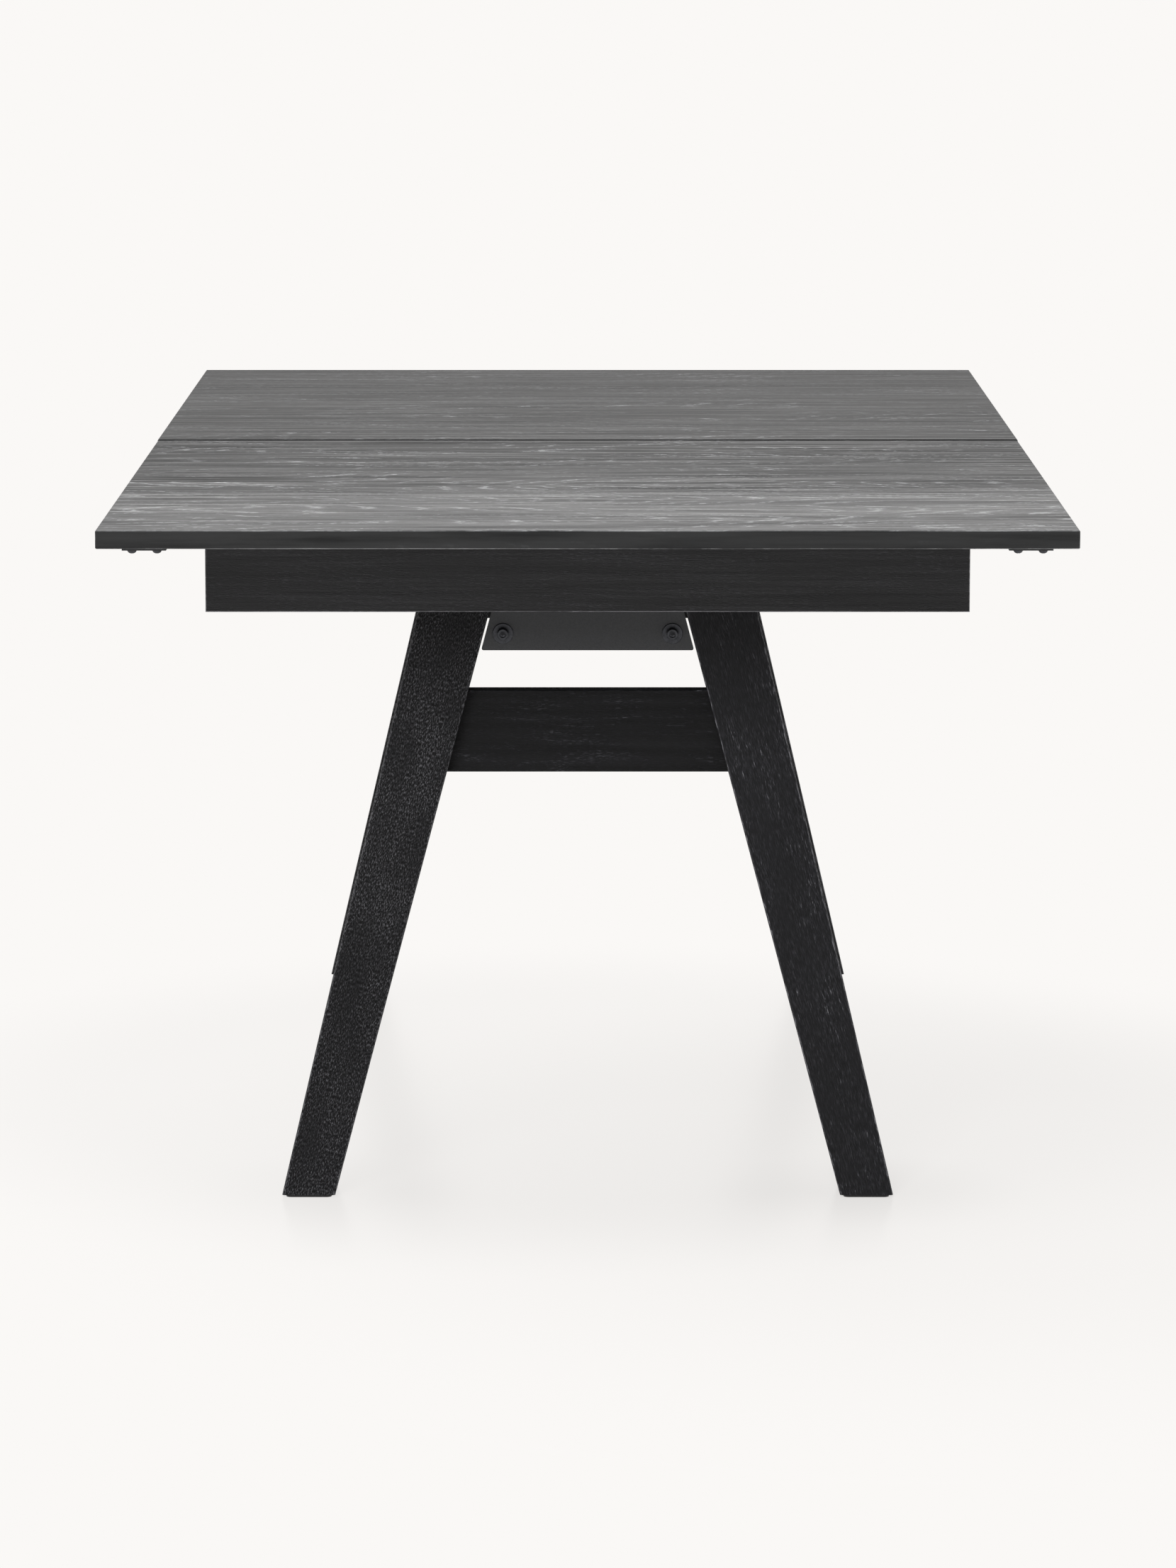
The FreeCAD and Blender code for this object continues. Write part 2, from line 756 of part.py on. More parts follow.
# Racks: the front one runs past the seam on the pinion's inner side, the rear one on its outer side
rack_line = pinion_x - pitch_radius
rack_root = rack_line - gear_foot
rack_heel = rack_root - rack_back
rack_tip = rack_line + gear_module
rack_start = -rack_block_gap - rack_block_length
rack_stop = half_travel + rack_end
rack_screw_x = (rack_heel + rack_root) / 2
rack_screw_stop = -rack_block_gap - rack_screw_margin
rack_screw_rows = spread(rack_start + rack_screw_margin, rack_screw_stop, rack_screw_count)
rack_screw_places = [Vector(rack_screw_x, y, rack_low) for y in rack_screw_rows]
rack_screw_length = gear_height + rack_block_height + screw_bite
rack_screws = [pan_screw(place, up, screw_radius, rack_screw_length) for place in rack_screw_places]
rack_pilots = [pilot(place, up, screw_radius, rack_screw_length) for place in rack_screw_places]


def rack(shift):
    # shift moves the teeth along by a share of their pitch, so that an odd pinion meshes on both sides
    pitch = math.pi * gear_module
    slope = math.tan(gear_pressure)
    half_line = pitch / 4 - gear_backlash / 2
    half_root, half_tip = half_line + gear_foot * slope, half_line - gear_module * slope
    outline = [(rack_heel, rack_stop), (rack_heel, rack_start), (rack_root, rack_start)]
    first, last = -int(rack_end / pitch), int(rack_stop / pitch - shift)
    for tooth in range(first, last):
        middle = (tooth + 0.5 + shift) * pitch
        outline += [
            (rack_root, middle - half_root), (rack_tip, middle - half_tip),
            (rack_tip, middle + half_tip), (rack_root, middle + half_root),
        ]
    outline.append((rack_root, rack_stop))
    return prism_up(outline, rack_low, rack_top).cut(rack_pilots)


def rack_block():
    wood = block(rack_heel, rack_heel + rack_block_width, rack_start, -rack_block_gap, rack_top, under)
    return wood.cut(rack_pilots)


nodes["front_rack"] = rack((gear_teeth % 2) / 2)
nodes["rear_rack"] = turned(rack(0.0), pinion_x)
nodes["front_rack_block"] = rack_block()
nodes["rear_rack_block"] = turned(nodes["front_rack_block"], pinion_x)


# Side rails
def side_rail():
    board = block(rail_in, frame_half, rail_end, -rail_end, apron_bottom, under - rail_top_gap)
    outside = rail_in + nearby
    board = eased(board, rail_ease, lambda edge: runs_along(edge, along_y) and edge.BoundBox.XMin > outside)
    cutters = rail_runner_holes + [turned(mirrored(hole)) for hole in rail_runner_holes]
    cutters += [bearer_tongue, turned(bearer_tongue)]
    side_holes = rail_dowel_holes + [pilot(seat, direction) for seat, direction in side_rail_screws]
    cutters += side_holes + [turned(mirrored(hole)) for hole in side_holes]
    return board.cut(cutters)


plain_rail = side_rail()
nodes["left_side_rail"] = mirrored(plain_rail)
nodes["right_side_rail"] = plain_rail.cut([pilot(place, along_x) for place in shelf_screw_places])

# Screws that stay with the frame
plate_screws = [pan_screw(place, along_y) for place in plate_screw_places]
frame_screws = plate_screws + [turned(screw) for screw in plate_screws]
for seat, direction in bracket_screws:
    frame_screws += four_corners(pan_screw(seat, direction))
frame_screws += [pan_screw(place, along_x) for place in shelf_screw_places]
nodes["frame_screws"] = group(frame_screws)

# Carrier battens, aprons and glue blocks, which travel with each half
batten_end = -batten_seam_gap
batten_middle = batten_in + batten_width / 2
batten_screw_stop = batten_end - batten_screw_margin
batten_screw_places = spread(apron_back + batten_screw_margin, batten_screw_stop, batten_screw_count)
batten_seat = batten_low + batten_counterbore
batten_screw_length = under + screw_bite - batten_seat


def batten():
    bar = block(batten_in, runner_face, apron_back, batten_end, batten_low, under)
    for y in batten_screw_places:
        foot = Vector(batten_middle, y, batten_low)
        well = rod(foot, up, long_screw_head_radius + hole_air, batten_counterbore)
        through = pilot(Vector(batten_middle, y, batten_seat), up, long_screw_radius, batten_screw_length)
        bar = bar.cut([well, through])
    return bar.cut(batten_runner_holes)


def batten_screw(y):
    seat = Vector(batten_middle, y, batten_seat)
    return pan_screw(seat, up, long_screw_radius, batten_screw_length, long_screw_head_radius)


def apron():
    board = block(-frame_half, frame_half, apron_front, apron_back, apron_bottom, under)
    return eased(
        board, apron_ease,
        lambda edge: edge.BoundBox.YMax < apron_front + nearby and edge.BoundBox.ZMin < under - nearby,
    )


def glue_block(x):
    half = glue_block_length / 2
    return block(x - half, x + half, apron_back, apron_back + glue_block_size, under - glue_block_size, under)


glue_blocks = [glue_block(x) for x in (-glue_block_spacing, 0.0, glue_block_spacing)]
nodes["front_battens"] = group(both_sides(batten()))
nodes["rear_battens"] = at_rear(both_sides(batten()))
nodes["front_apron"] = apron()
nodes["rear_apron"] = turned(apron())
nodes["front_glue_blocks"] = group(glue_blocks)
nodes["rear_glue_blocks"] = at_rear(glue_blocks)

# Flat steel strips under the overhang, screwed in pairs
flat_low = under - flat_strip_thickness
flat_front = -half_length + flat_strip_end
flat_back = -flat_strip_seam
flat_screw_rows = spread(flat_front + flat_screw_margin, flat_back - flat_screw_margin, flat_screw_count)
flat_screw_columns = [overhang_middle + side * flat_screw_pair / 2 for side in (-1, 1)]
flat_screw_places = [Vector(x, y, flat_low) for y in flat_screw_rows for x in flat_screw_columns]
flat_screw_length = flat_strip_thickness + screw_bite


def flat_strip():
    strip = block(
        overhang_middle - flat_strip_width / 2, overhang_middle + flat_strip_width / 2,
        flat_front, flat_back, flat_low, under,
    )
    return strip.cut([pilot(place, up, screw_radius, flat_screw_length) for place in flat_screw_places])


def flat_screw(place):
    # domed head on a thin flange
    flange = rod(place, down, flat_flange_radius, flat_flange_height)
    dome_seat = place + Vector(0, 0, -flat_flange_height)
    ball = (flat_dome_radius ** 2 + flat_dome_height ** 2) / (2 * flat_dome_height)
    dome = Part.makeSphere(ball, dome_seat + Vector(0, 0, ball - flat_dome_height))
    dome = dome.common(rod(dome_seat, down, ball, flat_dome_height))
    return rod(place, up, screw_radius, flat_screw_length).fuse([flange, dome]).removeSplitter()


half_screws = [piece for place in flat_screw_places for piece in both_sides(flat_screw(place))]
half_screws += [piece for y in batten_screw_places for piece in both_sides(batten_screw(y))]
half_screws += [piece for screw in batten_runner_screws for piece in both_sides(screw)]
nodes["front_flat_strips"] = group(both_sides(flat_strip()))
nodes["rear_flat_strips"] = at_rear(both_sides(flat_strip()))
nodes["front_half_screws"] = group(half_screws + rack_screws)
nodes["rear_half_screws"] = group(
    [turned(screw) for screw in half_screws] + [turned(screw, pinion_x) for screw in rack_screws]
)

# Swivel catches: a lever pivots under the front half and hooks a stud under the rear half
catch_base_low = under - catch_base_thickness
catch_top = catch_base_low - catch_play
catch_low = catch_top - catch_thickness
catch_head_low = catch_low - catch_play - catch_head_height
catch_pivot = Vector(overhang_middle, -catch_pivot_gap, 0)
catch_stud = Vector(overhang_middle, catch_reach - catch_pivot_gap, 0)


def at_level(point, z):
    return Vector(point.x, point.y, z)


def catch_post(point, radius, head_radius):
    # a plate against the top, a thread into it, a post past the lever and a head below
    half = catch_base_size / 2
    plate = block(point.x - half, point.x + half, point.y - half, point.y + half, catch_base_low, under)
    thread = rod(at_level(point, under), up, catch_thread_radius, catch_thread_length)
    post = rod(at_level(point, catch_head_low), up, radius, catch_base_low - catch_head_low)
    head = rod(at_level(point, catch_head_low), up, head_radius, catch_head_height)
    return plate.fuse([thread, post, head]).removeSplitter()


def catch_thread_hole(point):
    return pilot(at_level(point, under), up, catch_thread_radius, catch_thread_length)


def catch_lever():
    # drawn released, pointing to the side edge
    tip = catch_pivot.x + catch_reach
    half = catch_width / 2
    bar = block(catch_pivot.x, tip, catch_pivot.y - half, catch_pivot.y + half, catch_low, catch_top)
    ends = [rod(Vector(x, catch_pivot.y, catch_low), up, half, catch_thickness) for x in (catch_pivot.x, tip)]
    lever = bar.fuse(ends).removeSplitter()
    slot = catch_stud_radius + catch_slot_play
    ring = rod(at_level(catch_pivot, catch_low), up, catch_reach + slot, catch_thickness)
    ring = ring.cut(rod(at_level(catch_pivot, catch_low), up, catch_reach - slot, catch_thickness))
    ring = ring.common(block(
        catch_pivot.x, tip + catch_width, catch_pivot.y, catch_pivot.y + catch_width, catch_low, catch_top
    ))
    seat = rod(Vector(tip, catch_pivot.y, catch_low), up, slot, catch_thickness)
    bore = rod(at_level(catch_pivot, catch_low), up, catch_pivot_radius + axle_play, catch_thickness)
    return lever.cut([ring, seat, bore])


nodes["catch_pivots"] = group(both_sides(catch_post(catch_pivot, catch_pivot_radius, catch_head_radius)))
nodes["catch_keepers"] = group(both_sides(catch_post(catch_stud, catch_stud_radius, catch_stud_radius)))
nodes["right_catch"] = catch_lever()
nodes["left_catch"] = mirrored(nodes["right_catch"])

# The two halves of the top, with seam dowels in the front half and sockets in the rear half.
# The rear half stands a little proud, as in the photograph, where its edge shows as a dark line.
seam_dowel_start = -seam_gap / 2 - seam_dowel_length + seam_dowel_out
seam_z = under + top_thickness / 2


def plain_half(face):
    board = block(-half_width, half_width, -half_length, -seam_gap / 2, under, face)
    board = eased(board, top_ease, lambda edge: edge.BoundBox.YMin < -seam_gap / 2 - nearby)
    cutters = [pilot(place, up, screw_radius, flat_screw_length) for place in flat_screw_places]
    cutters += [
        pilot(Vector(batten_middle, y, batten_seat), up, long_screw_radius, batten_screw_length)
        for y in batten_screw_places
    ]
    return board.cut([piece for cutter in cutters for piece in both_sides(cutter)])


def seam_dowel(x, play=0.0):
    return rod(Vector(x, seam_dowel_start, seam_z), along_y, seam_dowel_radius + play, seam_dowel_length)


def seam_socket(x):
    depth = seam_dowel_out + seam_socket_play
    return rod(Vector(x, 0, seam_z), along_y, seam_dowel_radius + seam_socket_play, depth + seam_gap)


front_holes = [seam_dowel(x, hole_air) for x in dowel_rows] + rack_pilots
front_holes += both_sides(catch_thread_hole(catch_pivot))
rear_holes = [seam_socket(x) for x in dowel_rows] + [turned(hole, pinion_x) for hole in rack_pilots]
rear_holes += both_sides(catch_thread_hole(catch_stud))
nodes["front_top"] = plain_half(top_height - seam_step).cut(front_holes)
nodes["rear_top"] = turned(plain_half(top_height)).cut(rear_holes)
nodes["seam_dowels"] = group([seam_dowel(x) for x in dowel_rows])

for name, shape in nodes.items():
    shape.exportStep("parts/" + name + ".step")
    print(name, len(shape.Solids), "solids, valid", shape.isValid())
print("nodes", len(nodes))
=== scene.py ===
import math
import bpy
import bmesh
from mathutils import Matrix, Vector


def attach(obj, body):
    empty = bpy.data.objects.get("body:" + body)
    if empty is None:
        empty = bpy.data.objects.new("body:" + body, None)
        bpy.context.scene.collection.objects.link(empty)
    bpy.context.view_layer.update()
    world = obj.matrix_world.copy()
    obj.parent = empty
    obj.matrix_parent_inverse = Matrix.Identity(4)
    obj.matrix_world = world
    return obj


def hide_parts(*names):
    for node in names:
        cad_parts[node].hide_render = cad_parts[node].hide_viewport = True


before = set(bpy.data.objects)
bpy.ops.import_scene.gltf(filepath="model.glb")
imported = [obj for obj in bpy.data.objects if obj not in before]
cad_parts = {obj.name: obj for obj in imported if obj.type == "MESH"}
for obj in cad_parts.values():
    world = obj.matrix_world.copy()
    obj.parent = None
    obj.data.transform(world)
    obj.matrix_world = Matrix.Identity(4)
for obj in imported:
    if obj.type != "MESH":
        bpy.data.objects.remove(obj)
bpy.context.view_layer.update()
scene = bpy.context.scene
scene.view_settings.view_transform = "Standard"
print("frame loaded,", len(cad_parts), "nodes")


def linear(hexColour):
    parts = [int(hexColour[i:i + 2], 16) / 255 for i in (1, 3, 5)]
    return tuple(p / 12.92 if p <= 0.04045 else ((p + 0.055) / 1.055) ** 2.4 for p in parts) + (1.0,)


# adds a node; a socket given as an input is linked, a list of sockets is linked one by one
def addNode(tree, kind, settings=None, inputs=None):
    node = tree.nodes.new(kind)
    for name, value in (settings or {}).items():
        setattr(node, name, value)
    for name, value in (inputs or {}).items():
        for one in value if isinstance(value, list) else [value]:
            if isinstance(one, bpy.types.NodeSocket):
                tree.links.new(one, node.inputs[name])
            else:
                node.inputs[name].default_value = one
    return node


def newFinish(name, sockets):
    finish = bpy.data.materials.new(name)
    finish.use_nodes = True
    tree = finish.node_tree
    tree.nodes.clear()
    shader = addNode(tree, "ShaderNodeBsdfPrincipled", inputs=sockets)
    addNode(tree, "ShaderNodeOutputMaterial", inputs={"Surface": shader.outputs[0]})
    return finish, tree, shader


def setRamp(node, stops, interpolation="LINEAR"):
    ramp = node.color_ramp
    ramp.interpolation = interpolation
    while len(ramp.elements) > 1:
        ramp.elements.remove(ramp.elements[-1])
    for i, (place, colour) in enumerate(stops):
        stop = ramp.elements[0] if i == 0 else ramp.elements.new(place)
        stop.position = place
        stop.color = colour


# what every oak board shares; the rest is in the dictionary of each piece
oakRules = {
    "boardJump": (3.7, 1.3, 2.1),        # metres from the pattern of one board to another's, times the slip
    "noiseRange": (0.3, 0.7), "noiseRoughness": 0.6,
    "faceRamp": (2.5, -1.25),            # 0 to 1 as a face turns up
    "arrisRamp": (-5.9, 5.72),           # 0 on a flat face, 1 where two faces meet
    "edgeShadeTone": 0.4, "plainStreak": 0.4,  # tone left on an edge as painted shade, streaks left on a board without arches
    "rubAndHighlightLow": 0.5, "patchLow": 0.2,      # least rub and painted highlight between two fibres, least line between two patches
    "poreSoft": 0.12, "poreBase": 0.15, "poreOnLine": 0.5, "poreInPatch": 0.6}


# Open-pore oak under black stain and matt lacquer: growth rings open into arches along the middle of
# each board, pores show as short dashes, and low light turns the lacquer grey while the stain stays dark.
# Real pores are 0.3 mm wide and rings 3 mm, both drawn coarser here so that they show.
def stainedOak(name, look):
    finish, tree, shader = newFinish(name, {"IOR": look["ior"]})
    span, turn = look["span"], tuple(math.radians(a) for a in look["turn"])
    place = addNode(tree, "ShaderNodeTexCoord").outputs
    grain = addNode(tree, "ShaderNodeMapping", inputs={
        "Vector": place["Object"], "Location": look["shift"], "Rotation": turn}).outputs[0]
    facing = addNode(tree, "ShaderNodeMapping", {"vector_type": "NORMAL"}, {
        "Vector": place["Normal"], "Rotation": turn}).outputs[0]
    facing = addNode(tree, "ShaderNodeVectorMath", {"operation": "ABSOLUTE"}, {0: facing}).outputs[0]
    values = {}
    for source, labels in ((grain, ("along", "across", "depth")), (facing, ("faceX", "faceY", "faceZ"))):
        values.update(zip(labels, addNode(tree, "ShaderNodeSeparateXYZ", inputs={0: source}).outputs))

    # one colour stop per board: red is tone, green slips the pattern, blue is its middle, alpha its figure
    stops = [(b[0] / span + 0.5, (b[1], b[2], b[3] / span + 0.5, b[4])) for b in look["boards"]]
    boards = addNode(tree, "ShaderNodeValToRGB", inputs={0: addNode(tree, "ShaderNodeMapRange", inputs={
        0: values["across"], 1: -span / 2, 2: span / 2}).outputs[0]})
    setRamp(boards, stops, "CONSTANT")
    values.update(zip(("tone", "slip", "heart"), addNode(tree, "ShaderNodeSeparateColor", inputs={
        0: boards.outputs[0]}).outputs))
    values["figure"] = boards.outputs[1]
    jump = addNode(tree, "ShaderNodeVectorMath", {"operation": "SCALE"}, {
        0: oakRules["boardJump"], "Scale": values["slip"]}).outputs[0]
    spot = addNode(tree, "ShaderNodeVectorMath", inputs={0: grain, 1: jump}).outputs[0]
    values["run"] = addNode(tree, "ShaderNodeSeparateXYZ", inputs={0: spot}).outputs[0]

    # noises drawn out along the grain, cell sizes in mm, stretched to the full 0 to 1
    for label, (along, across, detail) in look["noise"].items():
        drawn = addNode(tree, "ShaderNodeVectorMath", {"operation": "MULTIPLY"}, {
            0: spot, 1: (1000 / along, 1000 / across, 1000 / across)}).outputs[0]
        cells = addNode(tree, "ShaderNodeTexNoise", inputs={
            "Vector": drawn, "Scale": 1.0, "Detail": detail,
            "Roughness": oakRules["noiseRoughness"]}).outputs[0]
        low, high = oakRules["noiseRange"]
        values[label] = addNode(tree, "ShaderNodeMapRange", inputs={0: cells, 1: low, 2: high}).outputs[0]

    soft, thin, (swayRings, rippleRings) = oakRules["poreSoft"], look["lineWidth"], look["ringSway"]
    steps = (
        # the edges of a top show little figure; rounded arrises face between the axes and are made pale,
        # partly as rubbed wear and partly as a painted highlight
        ("onFace", "MULTIPLY_ADD", "faceZ", *oakRules["faceRamp"]),
        ("onFace", "MULTIPLY_ADD", "onFace", 1 - look["edgeFigure"], look["edgeFigure"]),
        ("figure", "MULTIPLY", "figure", "onFace"),
        # the sides of a top get less tone than its face: painted shade
        ("deepen", "MULTIPLY_ADD", "onFace", 1 - oakRules["edgeShadeTone"], oakRules["edgeShadeTone"]),
        ("tone", "MULTIPLY", "tone", "deepen"),
        ("square", "MAXIMUM", "faceX", "faceY"),
        ("square", "MAXIMUM", "square", "faceZ"),
        ("arris", "MULTIPLY_ADD", "square", *oakRules["arrisRamp"]),
        ("rub", "MULTIPLY_ADD", "fibre", 1 - oakRules["rubAndHighlightLow"], oakRules["rubAndHighlightLow"]),
        ("rub", "MULTIPLY", "rub", "arris"),
        # rings: distance from the heart of the tree, which tapers one way or the other along the board
        ("middle", "MULTIPLY_ADD", "heart", span, -span / 2),
        ("aside", "SUBTRACT", "across", "middle"),
        ("aside", "MULTIPLY", "aside", "aside"),
        ("deep", "ADD", "depth", look["heartDepth"]),
        ("ring", "MULTIPLY_ADD", "deep", "deep", "aside"),
        ("ring", "SQRT", "ring"),
        ("way", "SUBTRACT", "slip", 0.5),
        ("way", "SIGN", "way"),
        ("run", "MULTIPLY", "run", "way"),
        ("ring", "MULTIPLY_ADD", "run", look["taper"], "ring"),
        ("ring", "MULTIPLY", "ring", 1000 / look["ringMm"]),
        ("ring", "MULTIPLY_ADD", "sway", swayRings, "ring"),
        ("ring", "MULTIPLY_ADD", "ripple", rippleRings, "ring"),
        ("line", "PINGPONG", "ring", 0.5),
        ("line", "MULTIPLY_ADD", "line", -1 / thin, 1.0),
        ("patchy", "MULTIPLY_ADD", "patch", 1 - oakRules["patchLow"], oakRules["patchLow"]),
        ("line", "MULTIPLY", "line", "patchy"),
        ("line", "MULTIPLY", "line", "figure"),
        # pores are dense along the ring lines and in patches
        ("dash", "MULTIPLY_ADD", "pore", 1 / soft, -look["poreCut"] / soft),
        ("crowd", "MULTIPLY_ADD", "line", oakRules["poreOnLine"], oakRules["poreBase"]),
        ("crowd", "MULTIPLY_ADD", "patch", oakRules["poreInPatch"], "crowd"),
        ("dash", "MULTIPLY", "dash", "crowd"),
        ("dash", "MULTIPLY", "dash", "onFace"),
        # fine streaks, weaker on plain boards, uneven where the look asks for it
        ("thread", "MULTIPLY_ADD", "fibre", look["fibre"], -look["fibre"] / 2),
        ("plain", "MAXIMUM", "figure", oakRules["plainStreak"]),
        ("bare", "SUBTRACT", 1.0, "onFace"),
        ("plain", "MAXIMUM", "plain", "bare"),
        ("thread", "MULTIPLY", "thread", "plain"),
        ("uneven", "MULTIPLY_ADD", "patch", look["uneven"], 1 - look["uneven"] / 2),
        ("thread", "MULTIPLY", "thread", "uneven"),
        ("shade", "MULTIPLY_ADD", "cloud", look["cloud"], "tone"),
        ("shade", "ADD", "shade", "thread"),
        ("shade", "MULTIPLY_ADD", "line", look["line"], "shade"),
        ("shade", "MULTIPLY_ADD", "dash", look["pore"], "shade"),
        # pale arrises: wear and a painted highlight along the edges
        ("shade", "MULTIPLY_ADD", "rub", look["rub"], "shade"),
        # streaks that took the lacquer well shine at a low angle, and so do the paler boards
        ("gleam", "MULTIPLY_ADD", "fibre", look["gleam"], -look["gleam"] / 2),
        ("gleam", "MULTIPLY", "gleam", "plain"),
        ("gleam", "MULTIPLY_ADD", "tone", look["toneGleam"], "gleam"),
        ("gloss", "SUBTRACT", look["roughness"], "gleam"),
        ("height", "MULTIPLY", "fibre", look["relief"][0]),
        ("height", "MULTIPLY_ADD", "dash", -look["relief"][1], "height"),
        ("height", "MULTIPLY_ADD", "line", -look["relief"][2], "height"))
    for label, operation, *terms in steps:
        values[label] = addNode(tree, "ShaderNodeMath", {
            "operation": operation, "use_clamp": label in ("onFace", "arris", "line", "dash", "shade")},
            {i: values.get(term, term) for i, term in enumerate(terms)}).outputs[0]

    stain = addNode(tree, "ShaderNodeValToRGB", inputs={0: values["shade"]})
    setRamp(stain, [(p, linear(c)) for p, c in look["stain"]])
    bump = addNode(tree, "ShaderNodeBump", inputs={
        "Strength": look["bump"], "Distance": look["bumpMm"] / 1000, "Height": values["height"]}).outputs[0]
    for socket, value in (
            ("Base Color", stain.outputs[0]), ("Roughness", values["gloss"]), ("Normal", bump)):
        tree.links.new(value, shader.inputs[socket])
    return finish


# boards: where each starts along the table in metres, tone, slip, middle of its arches, strength of figure
# noise: length of a cell along the grain and its width across it in mm, detail
topOak = {
    "ior": 1.5, "turn": (0, 0, 0), "shift": (0, 0, 0), "span": 1.8,
    "boards": [
        # the front boards are paler than the rest, partly their own tone and partly a painted sheen for
        # their shine at a low angle
        (-0.9, 0.32, 0.13, -0.80, 0.8), (-0.755, 0.37, 0.22, -0.70, 1.0), (-0.682, 0.36, 0.31, -0.63, 1.0),
        (-0.553, 0.25, 0.77, -0.455, 1.0), (-0.361, 0.24, 0.07, -0.30, 0.6),
        (-0.285, 0.22, 0.43, -0.22, 0.85), (-0.19, 0.21, 0.67, -0.11, 1.0),
        (0.0, 0.25, 0.21, 0.06, 0.6), (0.155, 0.23, 0.83, 0.27, 0.55), (0.335, 0.27, 0.47, 0.43, 0.5),
        (0.52, 0.26, 0.04, 0.66, 0.4), (0.71, 0.28, 0.62, 0.80, 0.4)],
    "noise": {"sway": (600, 110, 1.0), "ripple": (200, 30, 2.0), "fibre": (260, 12, 4.0),
              "pore": (8, 5.0, 1.0), "patch": (180, 40, 1.0), "cloud": (600, 160, 1.0)},
    "ringMm": 12.0, "ringSway": (4.0, 0.8), "taper": -0.18, "heartDepth": -0.70,
    "lineWidth": 0.22, "poreCut": 0.55, "cloud": 0.06, "fibre": 0.3, "line": 0.5, "pore": 0.3, "rub": 0.6,
    "edgeFigure": 0.17, "uneven": 0.0,
    "stain": [(0.0, "#0c0c0d"), (0.3, "#1a1b1c"), (0.6, "#4a4b4d"), (1.0, "#b0b2b4")],
    "roughness": 0.85, "gleam": 0.5, "toneGleam": 1.0, "relief": (0.4, 0.2, 0.4), "bump": 0.8, "bumpMm": 0.3}

frameOak = {
    "ior": 1.3, "turn": (0, 0, 0), "shift": (0, 0, 0), "span": 2.0, "boards": [(-1.0, 0.30, 0.2, 0.0, 0.8)],
    "noise": {"sway": (300, 60, 1.0), "ripple": (60, 12, 2.0), "fibre": (24, 1.1, 2.0),
              "pore": (7, 1.0, 1.0), "patch": (60, 22, 2.0), "cloud": (160, 70, 1.0)},
    "ringMm": 9.0, "ringSway": (2.0, 0.8), "taper": 0.05, "heartDepth": 0.09,
    "lineWidth": 0.25, "poreCut": 0.55, "cloud": 0.06, "fibre": 0.35, "line": 0.12, "pore": 0.5, "rub": 0.5,
    "edgeFigure": 1.0, "uneven": 0.8,
    "stain": [(0.0, "#0b0b0d"), (0.35, "#1a1a1d"), (0.7, "#38383c"), (1.0, "#88888e")],
    "roughness": 0.55, "gleam": 0.2, "toneGleam": 0.2, "relief": (0.3, 0.8, 0.2), "bump": 0.8, "bumpMm": 0.6}

legLean = 13.96  # degrees off upright, feet apart
leftLegNoise = dict(frameOak["noise"], fibre=(3.2, 1.0, 1.0), patch=(70, 30, 1.0))
rightLegNoise = dict(frameOak["noise"], fibre=(10, 1.1, 2.0))
apronNoise = dict(frameOak["noise"], fibre=(220, 6.0, 3.0))
stretcherNoise = dict(frameOak["noise"], fibre=(220, 9.0, 3.0))
oakTop = stainedOak("stainedOakTop", topOak)
oakLeaf = stainedOak("stainedOakLeaf", dict(
    topOak, turn=(0, 0, 90), shift=(0.2, 0.35, 0.0), heartDepth=-0.66))
oakLeftLeg = stainedOak("stainedOakLeftLeg", dict(
    frameOak, ior=1.25, turn=(0, 90 - legLean, 0), boards=[(-1.0, 0.29, 0.31, -0.62, 1.0)],
    fibre=1.2, pore=0.1, relief=(1.0, 0.3, 0.2), noise=leftLegNoise,
    stain=[(0.0, "#060607"), (0.25, "#141416"), (0.5, "#2a2a2c"), (0.75, "#464649"), (1.0, "#66666a")]))
oakRightLeg = stainedOak("stainedOakRightLeg", dict(
    frameOak, turn=(0, 90 + legLean, 0), boards=[(-1.0, 0.22, 0.77, -0.60, 0.9)],
    fibre=0.7, pore=0.35, noise=rightLegNoise))
oakApron = stainedOak("stainedOakApron", dict(
    frameOak, ior=1.5, boards=[(-1.0, 0.28, 0.52, -0.68, 0.6)], heartDepth=-0.60,
    fibre=0.45, pore=0.3, rub=0.7, relief=(0.3, 0.3, 0.2), noise=apronNoise))
# the stretchers are a darker copy of the frame oak: their low tone and deeper stain are painted shade for
# where they sit, back between the legs under the top
shadedOakStretcher = stainedOak("stainedOakStretcherShaded", dict(
    frameOak, boards=[(-1.0, 0.02, 0.87, -0.60, 0.7)], heartDepth=-0.44,
    line=0.2, fibre=0.5, noise=stretcherNoise,
    stain=[(0.0, "#070708"), (0.35, "#161619"), (0.7, "#38383c"), (1.0, "#88888e")]))
oakRail = stainedOak("stainedOakSideRail", dict(
    frameOak, ior=1.5, turn=(0, 0, 90), boards=[(-1.0, 0.28, 0.41, 0.30, 0.6)], pore=0.3))
print("oak done")


